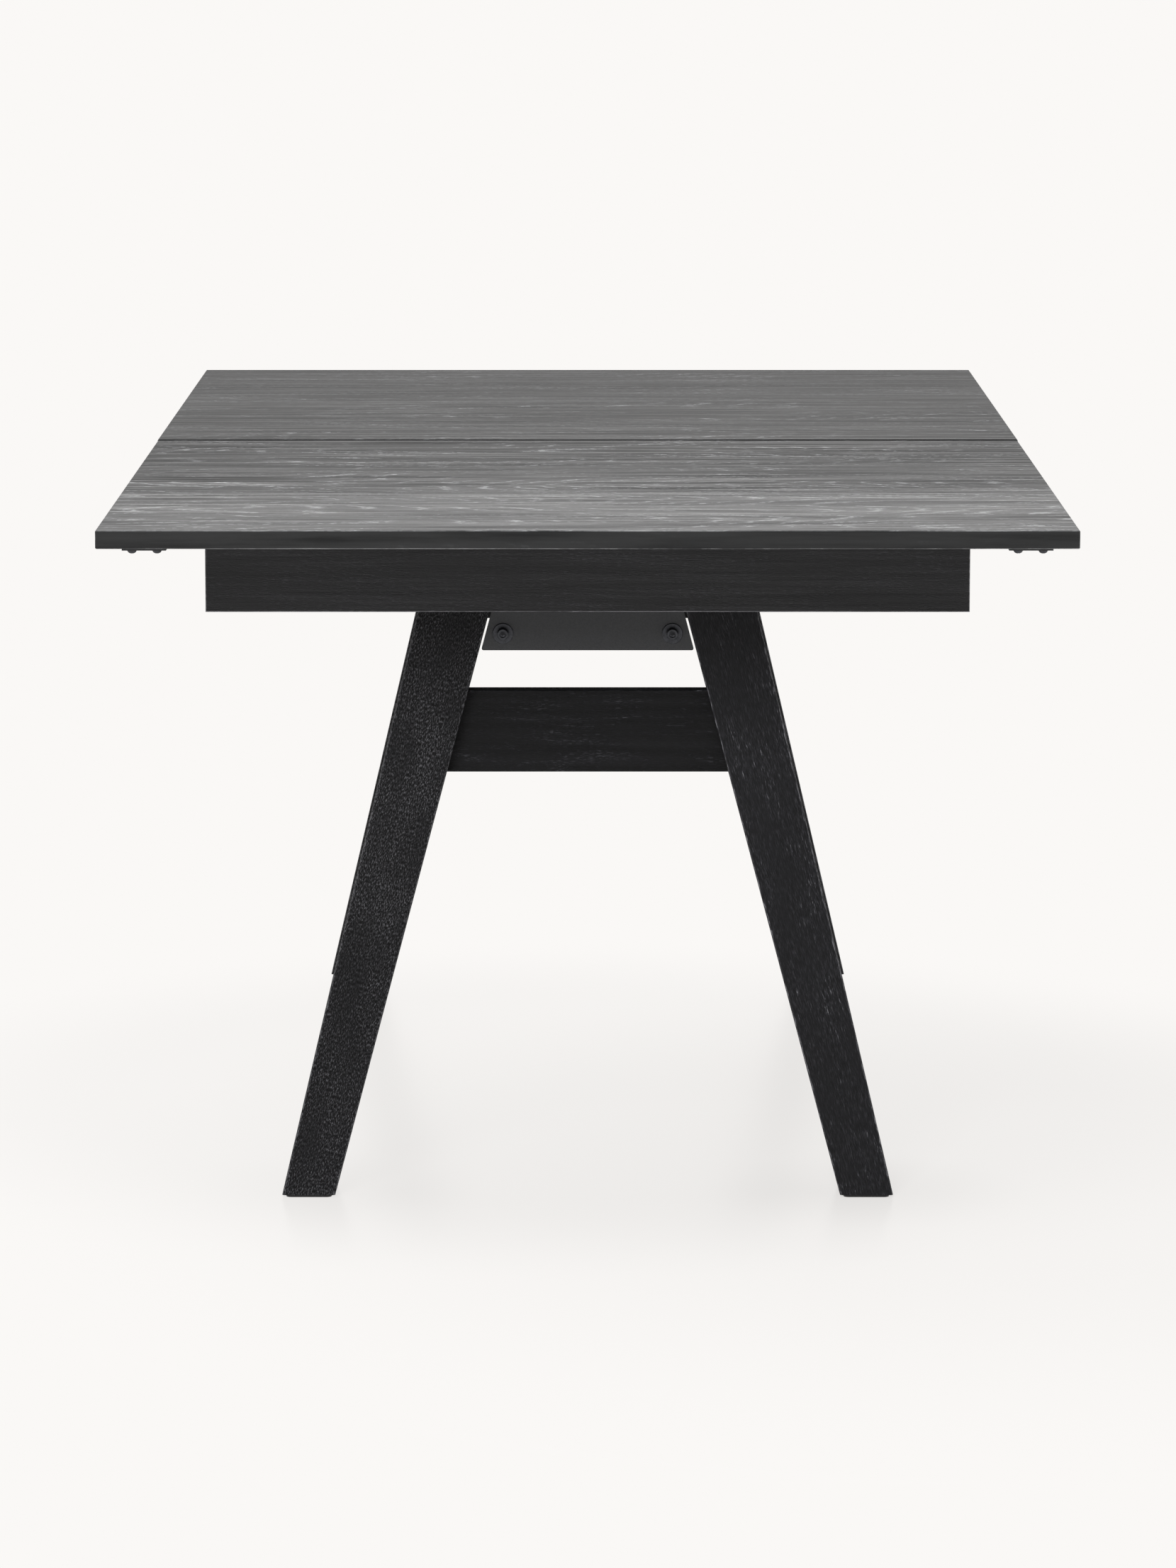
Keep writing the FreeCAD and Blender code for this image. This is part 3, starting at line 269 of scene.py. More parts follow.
# Beech, planed: fine even grain with the short dark flecks of its rays, either under black stain or bare.
# Its real fibres are 0.1 mm wide, drawn as streaks of 1 to 2 mm so that they show.
def beech(name, look):
    finish, tree, shader = newFinish(name, {"IOR": look["ior"]})
    place = addNode(tree, "ShaderNodeTexCoord").outputs["Object"]
    grain = addNode(tree, "ShaderNodeMapping", inputs={
        "Vector": place, "Rotation": tuple(math.radians(a) for a in look["turn"])}).outputs[0]
    stripes = []
    for along, across in (look["fibreMm"], look["fleckMm"]):
        drawn = addNode(tree, "ShaderNodeVectorMath", {"operation": "MULTIPLY"}, {
            0: grain, 1: (1000 / along, 1000 / across, 1000 / across)}).outputs[0]
        stripes.append(addNode(tree, "ShaderNodeTexNoise", inputs={
            "Vector": drawn, "Scale": 1.0, "Detail": look["detail"]}).outputs[0])
    fibre, ray = stripes
    fleck = addNode(tree, "ShaderNodeMapRange", inputs={
        0: ray, 1: look["fleckRange"][0], 2: look["fleckRange"][1]}).outputs[0]
    body = addNode(tree, "ShaderNodeValToRGB", inputs={0: fibre})
    setRamp(body, [(p, linear(look[c])) for p, c in zip(look["toneRange"], ("dark", "light"))])
    colour = addNode(tree, "ShaderNodeMix", {"data_type": "RGBA"}, {
        0: fleck, 6: body.outputs[0], 7: linear(look["fleck"])}).outputs[2]
    gloss = addNode(tree, "ShaderNodeMapRange", inputs={
        0: fibre, 3: look["roughness"][0], 4: look["roughness"][1]}).outputs[0]
    bump = addNode(tree, "ShaderNodeBump", inputs={
        "Strength": look["bump"], "Distance": look["bumpMm"] / 1000, "Height": fibre}).outputs[0]
    for socket, value in (("Base Color", colour), ("Roughness", gloss), ("Normal", bump)):
        tree.links.new(value, shader.inputs[socket])
    return finish


# Any finish that is even but for a fine mottle: the mottle moves its colour, its gloss and its surface.
mottle = {"noiseRoughness": 0.6, "toneRange": (0.35, 0.65), "glossRange": (0.3, 0.7)}


def mottled(name, look):
    finish, tree, shader = newFinish(name, look["sockets"])
    place = addNode(tree, "ShaderNodeTexCoord").outputs["Object"]
    scale = tuple(1000 / mm for mm in look["cellMm"])
    drawn = addNode(tree, "ShaderNodeVectorMath", {"operation": "MULTIPLY"}, {0: place, 1: scale}).outputs[0]
    fine = addNode(tree, "ShaderNodeTexNoise", inputs={
        "Vector": drawn, "Scale": 1.0, "Detail": look["detail"],
        "Roughness": mottle["noiseRoughness"]}).outputs[0]
    body = addNode(tree, "ShaderNodeValToRGB", inputs={0: fine})
    setRamp(body, [(p, linear(look[c])) for p, c in zip(mottle["toneRange"], ("dark", "light"))])
    gloss = addNode(tree, "ShaderNodeMapRange", inputs={
        0: fine, 1: mottle["glossRange"][0], 2: mottle["glossRange"][1],
        3: look["roughness"][0], 4: look["roughness"][1]}).outputs[0]
    bump = addNode(tree, "ShaderNodeBump", inputs={
        "Strength": look["bump"], "Distance": look["bumpMm"] / 1000, "Height": fine}).outputs[0]
    for socket, value in (("Base Color", body.outputs[0]), ("Roughness", gloss), ("Normal", bump)):
        tree.links.new(value, shader.inputs[socket])
    return finish


planedBeech = {
    "ior": 1.5, "turn": (0, 0, 0), "detail": 2.0, "fleckRange": (0.6, 0.68), "toneRange": (0.3, 0.7),
    "roughness": (0.5, 0.68), "bump": 0.25, "bumpMm": 0.3}
stainedBeech = dict(planedBeech, fibreMm=(40, 1.8), fleckMm=(4, 1.0),
                    dark="#171616", light="#2a2826", fleck="#100f0f")
rawBeech = dict(planedBeech, fibreMm=(30, 1.2), fleckMm=(3, 0.8),
                dark="#c49a6e", light="#d9b88f", fleck="#9c6f45")
beechAcross = beech("stainedBeechAcross", stainedBeech)
beechAlong = beech("stainedBeechAlong", dict(stainedBeech, turn=(0, 0, 90)))
beechDowel = beech("bareBeechDowel", rawBeech)

# powder coat bakes to a low orange peel, waves of 1 to 2 mm, with a satin grey sheen
powderCoat = mottled("powderCoatedSteel", {
    "sockets": {"IOR": 1.5}, "cellMm": (1.6, 1.6, 1.6), "detail": 2.0,
    "dark": "#36373a", "light": "#404143", "roughness": (0.5, 0.6), "bump": 0.3, "bumpMm": 0.15})
# black zinc plate is a thin dark skin over bright steel, a little uneven in tone, in clouds of about 3 mm
blackZinc = mottled("blackZincSteel", {
    "sockets": {"Metallic": 1.0}, "cellMm": (3, 3, 3), "detail": 3.0,
    "dark": "#3f4043", "light": "#515256", "roughness": (0.36, 0.48), "bump": 0.15, "bumpMm": 0.1})
# bright zinc plate on rolled steel keeps faint rolling marks along the run; real ones are about 0.2 mm
# apart, drawn 2 mm apart so that they show
brightZinc = mottled("zincPlatedSteel", {
    "sockets": {"Metallic": 1.0}, "cellMm": (2, 60, 2), "detail": 3.0,
    "dark": "#9b9ea2", "light": "#bfc2c6", "roughness": (0.3, 0.45), "bump": 0.12, "bumpMm": 0.1})
# moulded acetal has a fine spark-eroded skin, half gloss; its 0.05 mm grit is drawn at 0.9 mm so that
# it shows
acetal = mottled("mouldedBlackAcetal", {
    "sockets": {"IOR": 1.48}, "cellMm": (0.9, 0.9, 0.9), "detail": 2.0,
    "dark": "#131314", "light": "#1c1c1d", "roughness": (0.38, 0.5), "bump": 0.2, "bumpMm": 0.08})
# needled wool felt: matt, fibrous, a little dusty at a low angle; its fibres of 0.03 mm are too fine to show
# and are drawn as tufts of 1.4 mm
felt = mottled("needledFelt", {
    "sockets": {"Sheen Weight": 0.4, "Sheen Roughness": 0.5}, "cellMm": (1.4, 1.4, 1.4), "detail": 5.0,
    "dark": "#262525", "light": "#3d3b3a", "roughness": (0.9, 1.0), "bump": 0.8, "bumpMm": 0.5})

finishBySlot = {
    "stained_oak_top": oakTop, "stained_oak_frame": oakApron,
    "stained_beech": beechAcross, "raw_beech": beechDowel,
    "powder_coated_steel": powderCoat, "black_zinc_fasteners": blackZinc, "zinc_plated_steel": brightZinc,
    "acetal_plastic": acetal, "felt": felt}
finishByNode = {
    "lower_leaf": oakLeaf, "upper_leaf": oakLeaf,
    "front_left_leg": oakLeftLeg, "rear_left_leg": oakLeftLeg,
    "front_right_leg": oakRightLeg, "rear_right_leg": oakRightLeg,
    "front_stretcher": shadedOakStretcher, "rear_stretcher": shadedOakStretcher,
    "left_side_rail": oakRail, "right_side_rail": oakRail,
    "front_battens": beechAlong, "rear_battens": beechAlong,
    "front_rack_block": beechAlong, "rear_rack_block": beechAlong}
for nodeName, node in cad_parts.items():
    for slot in node.material_slots:
        slot.material = finishByNode.get(nodeName) or finishBySlot[slot.material.name.split(".")[0]]
print("finishes done")


# Screws and bolts are made by geometry nodes where the frame's own ones stand. For every loose solid of a
# node this gives the middle of its head's face, the way that faces, its length and its width.
def standingPins(nodeName):
    mesh = bmesh.new()
    mesh.from_mesh(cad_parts[nodeName].data)
    bmesh.ops.remove_doubles(mesh, verts=mesh.verts, dist=1e-6)
    mesh.verts.index_update()
    reached, pins = set(), []
    for start in mesh.verts:
        if start.index in reached:
            continue
        reached.add(start.index)
        queue, points = [start], []
        while queue:
            vert = queue.pop()
            points.append(vert.co.copy())
            for edge in vert.link_edges:
                other = edge.other_vert(vert)
                if other.index not in reached:
                    reached.add(other.index)
                    queue.append(other)
        low = Vector([min(p[i] for p in points) for i in range(3)])
        high = Vector([max(p[i] for p in points) for i in range(3)])
        size, middle = high - low, (high + low) / 2
        axis = min(range(3), key=lambda i: abs(size[i - 1] - size[i - 2]))  # round about this axis
        others = [i for i in range(3) if i != axis]
        reach = [math.dist([p[i] for i in others], [middle[i] for i in others]) for p in points]
        widest = max(reach)
        rim = [p[axis] for p, r in zip(points, reach) if r > 0.9 * widest]  # the head is the wide end
        aim = Vector((0, 0, 0))
        aim[axis] = 1.0 if sum(rim) / len(rim) > middle[axis] else -1.0
        pins.append((middle + aim * size[axis] / 2, aim, size[axis], 2 * widest))
    mesh.free()
    return sorted(pins, key=lambda pin: [round(c, 4) for c in pin[0]])


def newTree(name, sockets):
    tree = bpy.data.node_groups.new(name, "GeometryNodeTree")
    tree.interface.new_socket("Geometry", in_out="INPUT", socket_type="NodeSocketGeometry")
    for label, value in sockets.items():
        kind = "Material" if value is None else "Int" if isinstance(value, int) else "Float"
        socket = tree.interface.new_socket(label, in_out="INPUT", socket_type="NodeSocket" + kind)
        if value is not None:
            socket.default_value = value
    tree.interface.new_socket("Geometry", in_out="OUTPUT", socket_type="NodeSocketGeometry")
    return tree, addNode(tree, "NodeGroupInput").outputs


# realizes what is joined, keeps edges over sharpFrom degrees sharp and sets the finish
def closeTree(tree, parts, finish, sharpFrom=35):
    joined = addNode(tree, "GeometryNodeJoinGeometry", inputs={0: parts}).outputs[0]
    solid = addNode(tree, "GeometryNodeRealizeInstances", inputs={0: joined}).outputs[0]
    smooth = addNode(tree, "GeometryNodeSetShadeSmooth", {"domain": "FACE"}, {0: solid}).outputs[0]
    angle = addNode(tree, "GeometryNodeInputMeshEdgeAngle").outputs[0]
    crisp = addNode(tree, "FunctionNodeCompare", {"data_type": "FLOAT", "operation": "GREATER_THAN"}, {
        0: angle, 1: math.radians(sharpFrom)}).outputs[0]
    edged = addNode(tree, "GeometryNodeSetShadeSmooth", {"domain": "EDGE"}, {
        "Geometry": smooth, "Selection": crisp, "Shade Smooth": False}).outputs[0]
    dressed = addNode(tree, "GeometryNodeSetMaterial", inputs={
        "Geometry": edged, "Material": finish}).outputs[0]
    addNode(tree, "NodeGroupOutput", inputs={0: dressed})


# runs a tree on points with their attributes and gives its result as a plain mesh
def runTree(pieceName, tree, points, attributes, values):
    mesh = bpy.data.meshes.new(pieceName + "Points")
    mesh.from_pydata(points, [], [])
    for label, rows in attributes.items():
        if isinstance(rows[0], float):
            mesh.attributes.new(label, "FLOAT", "POINT").data.foreach_set("value", rows)
        else:
            layer = mesh.attributes.new(label, "FLOAT_VECTOR", "POINT")
            layer.data.foreach_set("vector", [c for row in rows for c in row])
    holder = bpy.data.objects.new(pieceName + "Points", mesh)
    scene.collection.objects.link(holder)
    modifier = holder.modifiers.new("nodes", "NODES")
    modifier.node_group = tree
    for item in tree.interface.items_tree:
        if item.in_out == "INPUT" and item.name in values:
            modifier[item.identifier] = values[item.name]
    graph = bpy.context.evaluated_depsgraph_get()
    plain = bpy.data.meshes.new_from_object(holder.evaluated_get(graph), depsgraph=graph)
    holder.modifiers.remove(modifier)
    bpy.data.objects.remove(holder)
    piece = bpy.data.objects.new(pieceName, plain)
    scene.collection.objects.link(piece)
    print(pieceName, len(points), "places,", len(plain.polygons), "faces")
    return piece


# a screw is a dome with a cross recess on a tapered flange, or a flush cone, over a plain shank;
# recess sizes are shares of the head's radius and height
screwSizes = {
    "Recess Reach": 0.58, "Recess Width": 0.2, "Recess Depth": 0.55, "Cone Tip": 0.5, "Flange Top": 0.86,
    "Facets": 24, "Dome Rings": 12, "Shank Facets": 12, "Seed": 7, "Finish": None}
# a flange or shank starts this share of the heights above it down, so that it reaches into them
sink = -0.98
screwTree, given = newTree("crossHeadScrews", screwSizes)
ball = addNode(screwTree, "GeometryNodeMeshUVSphere", inputs={
    "Segments": given["Facets"], "Rings": given["Dome Rings"], "Radius": 1.0}).outputs[0]
above = addNode(screwTree, "GeometryNodeTransform", inputs={
    "Geometry": addNode(screwTree, "GeometryNodeMeshCube", inputs={"Size": (4, 4, 2)}).outputs[0],
    "Translation": (0, 0, 1)}).outputs[0]
half = addNode(screwTree, "GeometryNodeMeshBoolean", {"operation": "INTERSECT"}, {
    "Mesh 2": [ball, above]}).outputs[0]
cone = addNode(screwTree, "GeometryNodeMeshCone", inputs={
    "Vertices": given["Facets"], "Radius Top": 1.0, "Radius Bottom": given["Cone Tip"],
    "Depth": 1.0}).outputs[0]
ring = addNode(screwTree, "GeometryNodeMeshCone", inputs={
    "Vertices": given["Facets"], "Radius Top": given["Flange Top"], "Radius Bottom": 1.0,
    "Depth": 1.0}).outputs[0]
rod = addNode(screwTree, "GeometryNodeMeshCylinder", inputs={
    "Vertices": given["Shank Facets"], "Radius": 1.0, "Depth": 1.0}).outputs[0]
dome, flush, flange, shank = (  # each hangs from the origin
    addNode(screwTree, "GeometryNodeTransform", inputs={
        "Geometry": blank, "Translation": (0, 0, low)}).outputs[0]
    for blank, low in ((half, -1), (cone, -1), (ring, -1), (rod, -0.5)))
deep, long = (
    addNode(screwTree, "ShaderNodeMath", {"operation": "MULTIPLY"}, {0: given[label], 1: 2.0}).outputs[0]
    for label in ("Recess Depth", "Recess Reach"))
bars = []
for x, y in ((long, given["Recess Width"]), (given["Recess Width"], long)):
    size = addNode(screwTree, "ShaderNodeCombineXYZ", inputs={0: x, 1: y, 2: deep}).outputs[0]
    bars.append(addNode(screwTree, "GeometryNodeMeshCube", inputs={"Size": size}).outputs[0])
heads = [addNode(screwTree, "GeometryNodeMeshBoolean", {"operation": "DIFFERENCE"}, {
    "Mesh 1": blank, "Mesh 2": bars}).outputs[0] for blank in (dome, flush)]
read = {
    label: addNode(screwTree, "GeometryNodeInputNamedAttribute", {"data_type": kind}, {
        "Name": label}).outputs[0]
    for label, kind in (
        ("aim", "FLOAT_VECTOR"), ("headSize", "FLOAT_VECTOR"), ("flangeSize", "FLOAT_VECTOR"),
        ("shankSize", "FLOAT_VECTOR"), ("flush", "FLOAT"))}
spin = addNode(screwTree, "FunctionNodeRandomValue", {"data_type": "FLOAT"}, {
    2: 0.0, 3: math.pi / 2, "Seed": given["Seed"]}).outputs[1]
aimed = addNode(screwTree, "FunctionNodeAlignRotationToVector", {"axis": "Z"}, {
    "Vector": read["aim"]}).outputs[0]
turn = addNode(screwTree, "FunctionNodeRotateRotation", {"rotation_space": "LOCAL"}, {
    0: aimed, 1: addNode(screwTree, "FunctionNodeEulerToRotation", inputs={
        0: addNode(screwTree, "ShaderNodeCombineXYZ", inputs={2: spin}).outputs[0]}).outputs[0]}).outputs[0]
domed = addNode(screwTree, "FunctionNodeCompare", {"data_type": "FLOAT", "operation": "LESS_THAN"}, {
    0: read["flush"], 1: 0.5}).outputs[0]
sunk = addNode(screwTree, "FunctionNodeBooleanMath", {"operation": "NOT"}, {0: domed}).outputs[0]
headTall, flangeTall = (
    addNode(screwTree, "ShaderNodeSeparateXYZ", inputs={0: read[label]}).outputs[2]
    for label in ("headSize", "flangeSize"))
bothTall = addNode(screwTree, "ShaderNodeMath", inputs={0: headTall, 1: flangeTall}).outputs[0]
parts = []
for shape, size, stack, chosen in (
        (heads[0], "headSize", None, domed), (heads[1], "headSize", None, sunk),
        (flange, "flangeSize", headTall, domed), (shank, "shankSize", bothTall, None)):
    spots = given["Geometry"]
    if stack is not None:  # hangs below what is already stacked
        down = addNode(screwTree, "ShaderNodeMath", {"operation": "MULTIPLY"}, {
            0: stack, 1: sink}).outputs[0]
        drop = addNode(screwTree, "ShaderNodeVectorMath", {"operation": "SCALE"}, {
            0: read["aim"], "Scale": down}).outputs[0]
        spots = addNode(screwTree, "GeometryNodeSetPosition", inputs={
            "Geometry": spots, "Offset": drop}).outputs[0]
    links = {"Points": spots, "Instance": shape, "Rotation": turn, "Scale": read[size]}
    if chosen is not None:
        links["Selection"] = chosen
    parts.append(addNode(screwTree, "GeometryNodeInstanceOnPoints", inputs=links).outputs[0])
closeTree(screwTree, parts, given["Finish"])

# kinds by width and length in mm: radius and height of head and flange, radius of shank, flush or not
screwKinds = {
    (12.0, 16.5): {"head": (4.6, 3.0), "flange": (6.0, 1.0), "shank": 2.0, "flush": 0.0},  # overhang strips
    (10.0, 36.4): {"head": (4.8, 1.5), "flange": (5.0, 0.9), "shank": 2.5, "flush": 0.0},  # battens
    (8.0, 48.4): {"head": (3.8, 1.5), "flange": (4.0, 0.9), "shank": 2.0, "flush": 0.0},   # rack blocks
    (8.0, 18.4): {"head": (3.8, 1.5), "flange": (4.0, 0.9), "shank": 2.0, "flush": 0.0},   # plates, brackets
    (8.0, 17.4): {"head": (4.0, 1.4), "flange": (4.0, 0.0), "shank": 2.0, "flush": 1.0}}   # runners
screwRows = {
    "frontHalfScrews": ("front_half_screws", "front_half", "black_zinc_fasteners", blackZinc),
    "rearHalfScrews": ("rear_half_screws", "rear_half", "black_zinc_fasteners", blackZinc),
    "frameScrews": ("frame_screws", "frame", "zinc_plated_steel", brightZinc),
    "runnerScrews": ("runner_screws", "frame", "zinc_plated_steel", brightZinc)}
for pieceName, (nodeName, body, slot, finish) in screwRows.items():
    points, rows = [], {"aim": [], "headSize": [], "flangeSize": [], "shankSize": [], "flush": []}
    for place, aim, length, width in standingPins(nodeName):
        kind = min(screwKinds, key=lambda k: abs(k[0] - width * 1000) + abs(k[1] - length * 1000))
        sizes = screwKinds[kind]
        stack = sizes["head"][1] + sizes["flange"][1]
        points.append(place)
        rows["aim"].append(tuple(aim))
        for label in ("head", "flange"):
            radius, tall = sizes[label]
            rows[label + "Size"].append((radius / 1000, radius / 1000, tall / 1000))
        rows["shankSize"].append((sizes["shank"] / 1000, sizes["shank"] / 1000, length - stack / 1000))
        rows["flush"].append(sizes["flush"])
    piece = runTree(pieceName, screwTree, points, rows, dict(screwSizes, Finish=finish))
    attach(piece, body)
    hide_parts(nodeName)

# the bolts that tie the beam to both trestles: eased cap head with a hex socket, washer, shank and nut
boltSizes = {
    "Head Radius": 0.0065, "Head Height": 0.008, "Rim Ease": 0.0012,
    "Socket Flats": 0.005, "Socket Depth": 0.0065, "Mouth Radius": 0.0043, "Mouth Depth": 0.0007,
    "Washer Radius": 0.011, "Washer Hole": 0.0045, "Washer Thickness": 0.0016, "Washer Ease": 0.0005,
    "Shank Radius": 0.004, "Grip": 0.0096, "Tip": 0.002, "Nut Flats": 0.013, "Nut Height": 0.0065,
    "Facets": 48, "Finish": None}
hexCorner = 1 / math.sqrt(3)  # from a hexagon's width over flats to its corner's radius
boltTree, given = newTree("tieBolts", boltSizes)
values = {label: given[label] for label in boltSizes}
# the origin is the middle of the head's face and the bolt points down
for label, operation, first, second in (
        ("headLow", "MULTIPLY", "Head Height", -1.0),
        ("headTall", "SUBTRACT", "Head Height", "Rim Ease"),
        ("rimLow", "MULTIPLY", "Rim Ease", -1.0),
        ("rimRadius", "SUBTRACT", "Head Radius", "Rim Ease"),
        ("corner", "MULTIPLY", "Socket Flats", hexCorner),
        ("socketLow", "MULTIPLY", "Socket Depth", -1.0),
        ("socketTall", "MULTIPLY", "Socket Depth", 2.0),
        ("mouthLow", "MULTIPLY", "Mouth Depth", -1.0),
        ("mouthTall", "MULTIPLY", "Mouth Depth", 2.0),
        ("washerLow", "SUBTRACT", "headLow", "Washer Thickness"),
        ("washerTall", "SUBTRACT", "Washer Thickness", "Washer Ease"),
        ("washerRimLow", "ADD", "washerLow", "washerTall"),
        ("washerRim", "SUBTRACT", "Washer Radius", "Washer Ease"),
        ("washerHoleLow", "SUBTRACT", "washerLow", "Washer Thickness"),
        ("washerHoleTall", "MULTIPLY", "Washer Thickness", 3.0),
        ("nutLow", "SUBTRACT", "washerLow", "Grip"),
        ("nutLow", "SUBTRACT", "nutLow", "Nut Height"),
        ("nutCorner", "MULTIPLY", "Nut Flats", hexCorner),
        ("nutRim", "MULTIPLY", "Nut Flats", 0.49),  # a cone inside the flats takes off the nut's corners
        ("nutWide", "MULTIPLY", "Nut Flats", 1.2),
        ("nutConeTall", "MULTIPLY", "Nut Height", 1.6),
        ("nutHoleLow", "SUBTRACT", "nutLow", "Nut Height"),
        ("nutHoleTall", "MULTIPLY", "Nut Height", 3.0),
        ("shankLow", "SUBTRACT", "nutLow", "Tip"),
        ("shankTall", "SUBTRACT", "headLow", "shankLow"),
        ("shankTall", "ADD", "shankTall", 0.0002)):  # reaches into the head
    values[label] = addNode(boltTree, "ShaderNodeMath", {"operation": operation}, {
        0: values[first], 1: values.get(second, second)}).outputs[0]
solids = {}
for label, lower, upper, tall, low, corners in (  # turned or prismatic blanks, each on its own level
        ("head", "Head Radius", "Head Radius", "headTall", "headLow", "Facets"),
        ("headRim", "Head Radius", "rimRadius", "Rim Ease", "rimLow", "Facets"),
        ("socket", "corner", "corner", "socketTall", "socketLow", 6),
        ("mouth", "corner", "Mouth Radius", "mouthTall", "mouthLow", "Facets"),
        ("washer", "Washer Radius", "Washer Radius", "washerTall", "washerLow", "Facets"),
        ("washerRim", "Washer Radius", "washerRim", "Washer Ease", "washerRimLow", "Facets"),
        ("washerHole", "Washer Hole", "Washer Hole", "washerHoleTall", "washerHoleLow", "Facets"),
        ("nut", "nutCorner", "nutCorner", "Nut Height", "nutLow", 6),
        ("nutCone", "nutRim", "nutWide", "nutConeTall", "nutLow", "Facets"),
        ("nutHole", "Washer Hole", "Washer Hole", "nutHoleTall", "nutHoleLow", "Facets"),
        ("shank", "Shank Radius", "Shank Radius", "shankTall", "shankLow", "Facets")):
    blank = addNode(boltTree, "GeometryNodeMeshCone", inputs={
        "Vertices": values.get(corners, corners), "Radius Bottom": values[lower],
        "Radius Top": values[upper], "Depth": values[tall]}).outputs[0]
    lift = addNode(boltTree, "ShaderNodeCombineXYZ", inputs={2: values[low]}).outputs[0]
    solids[label] = addNode(boltTree, "GeometryNodeTransform", inputs={
        "Geometry": blank, "Translation": lift}).outputs[0]
for label, operation, others in (
        ("head", "UNION", ("headRim",)), ("head", "DIFFERENCE", ("socket", "mouth")),
        ("washer", "UNION", ("washerRim",)), ("washer", "DIFFERENCE", ("washerHole",)),
        ("nut", "INTERSECT", ("nutCone",)), ("nut", "DIFFERENCE", ("nutHole",))):
    tools = [solids[other] for other in others]
    links = {"Mesh 2": [solids[label]] + tools}
    if operation == "DIFFERENCE":
        links = {"Mesh 1": solids[label], "Mesh 2": tools}
    solids[label] = addNode(boltTree, "GeometryNodeMeshBoolean", {"operation": operation}, links).outputs[0]
whole = addNode(boltTree, "GeometryNodeJoinGeometry", inputs={
    0: [solids[label] for label in ("head", "washer", "nut", "shank")]}).outputs[0]
aim = addNode(boltTree, "GeometryNodeInputNamedAttribute", {"data_type": "FLOAT_VECTOR"}, {
    "Name": "aim"}).outputs[0]
aimed = addNode(boltTree, "FunctionNodeAlignRotationToVector", {"axis": "Z"}, {"Vector": aim}).outputs[0]
bolted = addNode(boltTree, "GeometryNodeInstanceOnPoints", inputs={
    "Points": given["Geometry"], "Instance": whole, "Rotation": aimed}).outputs[0]
closeTree(boltTree, [bolted], given["Finish"])
pins = standingPins("tie_bolts")
bolts = runTree("tieBoltSets", boltTree, [pin[0] for pin in pins], {"aim": [tuple(pin[1]) for pin in pins]},
                dict(boltSizes, Finish=blackZinc))
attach(bolts, "frame")
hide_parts("tie_bolts", "tie_washers", "tie_nuts")
print("fasteners done")

# the middle of a foot, alike at all four corners
glides = [vert.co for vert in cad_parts["foot_glides"].data.vertices]
footMiddle = tuple(sum(abs(point[i]) for point in glides) / len(glides) for i in (0, 1)) + (0.0,)

# pale paper floor that runs into the background, one box behind, one high in front, a darker room in front
studio = {
    "paper": "#FAF8F6", "floorRadius": 40.0,
    # share of the real shadow: round its middle, and stronger close to the feet
    "shadowShare": 0.11, "shadowMiddle": (0.5, -0.6, 0.0), "shadowNear": 0.35, "shadowFar": 1.2,
    "footShare": 0.2, "footMiddle": footMiddle, "footNear": 0.03, "footFar": 0.2,
    # share of the faint reflection under the table
    "skinShare": 0.13, "skinMiddle": (0.0, -0.1, 0.0), "skinNear": 0.55, "skinFar": 0.95,
    "skinRoughness": 0.25,
    # the room's light, from straight ahead of the table (-1) to behind it (1)
    "ambient": 0.42, "roomDark": 0.15, "roomLight": 0.85, "darkTo": -0.9, "lightFrom": 0.2,
    "boxes": {  # place, what it faces, width, height, watts
        "backBox": ((0.1, 1.6, 2.6), (0.0, -0.5, 0.75), 2.0, 1.0, 24.0),
        "frontBox": ((-0.9, -4.6, 3.45), (0.0, -0.6, 0.4), 1.8, 1.8, 160.0)}}

floorMesh = bpy.data.meshes.new("paperFloor")
disc = bmesh.new()
bmesh.ops.create_circle(disc, cap_ends=True, radius=studio["floorRadius"], segments=96)
disc.to_mesh(floorMesh)
disc.free()
floor = bpy.data.objects.new("paperFloor", floorMesh)
scene.collection.objects.link(floor)

# satin paper: white to the eye, with part of the object's shadow and a faint reflection of the feet
paper = bpy.data.materials.new("satinPaper")
paper.use_nodes = True
tree = paper.node_tree
tree.nodes.clear()
path = addNode(tree, "ShaderNodeLightPath").outputs
seen = path["Is Camera Ray"]
for kind in ("Is Glossy Ray", "Is Transmission Ray"):
    seen = addNode(tree, "ShaderNodeMath", {"operation": "MAXIMUM"}, {0: seen, 1: path[kind]}).outputs[0]
place = addNode(tree, "ShaderNodeTexCoord").outputs["Object"]
corner = addNode(tree, "ShaderNodeVectorMath", {"operation": "ABSOLUTE"}, {0: place}).outputs[0]
fades = {}
for label, spot, inner, outer in (
        ("shadow", place, 1.0, 0.0),
        ("foot", corner, studio["footShare"], studio["shadowShare"]),
        ("skin", place, studio["skinShare"], 0.0)):
    away = addNode(tree, "ShaderNodeVectorMath", {"operation": "DISTANCE"}, {
        0: spot, 1: studio[label + "Middle"]}).outputs["Value"]
    fades[label] = addNode(tree, "ShaderNodeMapRange", {"interpolation_type": "SMOOTHSTEP"}, {
        0: away, 1: studio[label + "Near"], 2: studio[label + "Far"], 3: inner, 4: outer}).outputs[0]
for label, operation, first, second in (
        ("shadow", "MULTIPLY", fades["shadow"], fades["foot"]),
        ("white", "SUBTRACT", 1.0, "shadow"),
        ("white", "MULTIPLY", "white", seen),
        ("skin", "MULTIPLY", fades["skin"], seen)):
    fades[label] = addNode(tree, "ShaderNodeMath", {"operation": operation}, {
        0: fades.get(first, first), 1: fades.get(second, second)}).outputs[0]
sheet = addNode(tree, "ShaderNodeBsdfDiffuse", inputs={0: linear(studio["paper"])}).outputs[0]
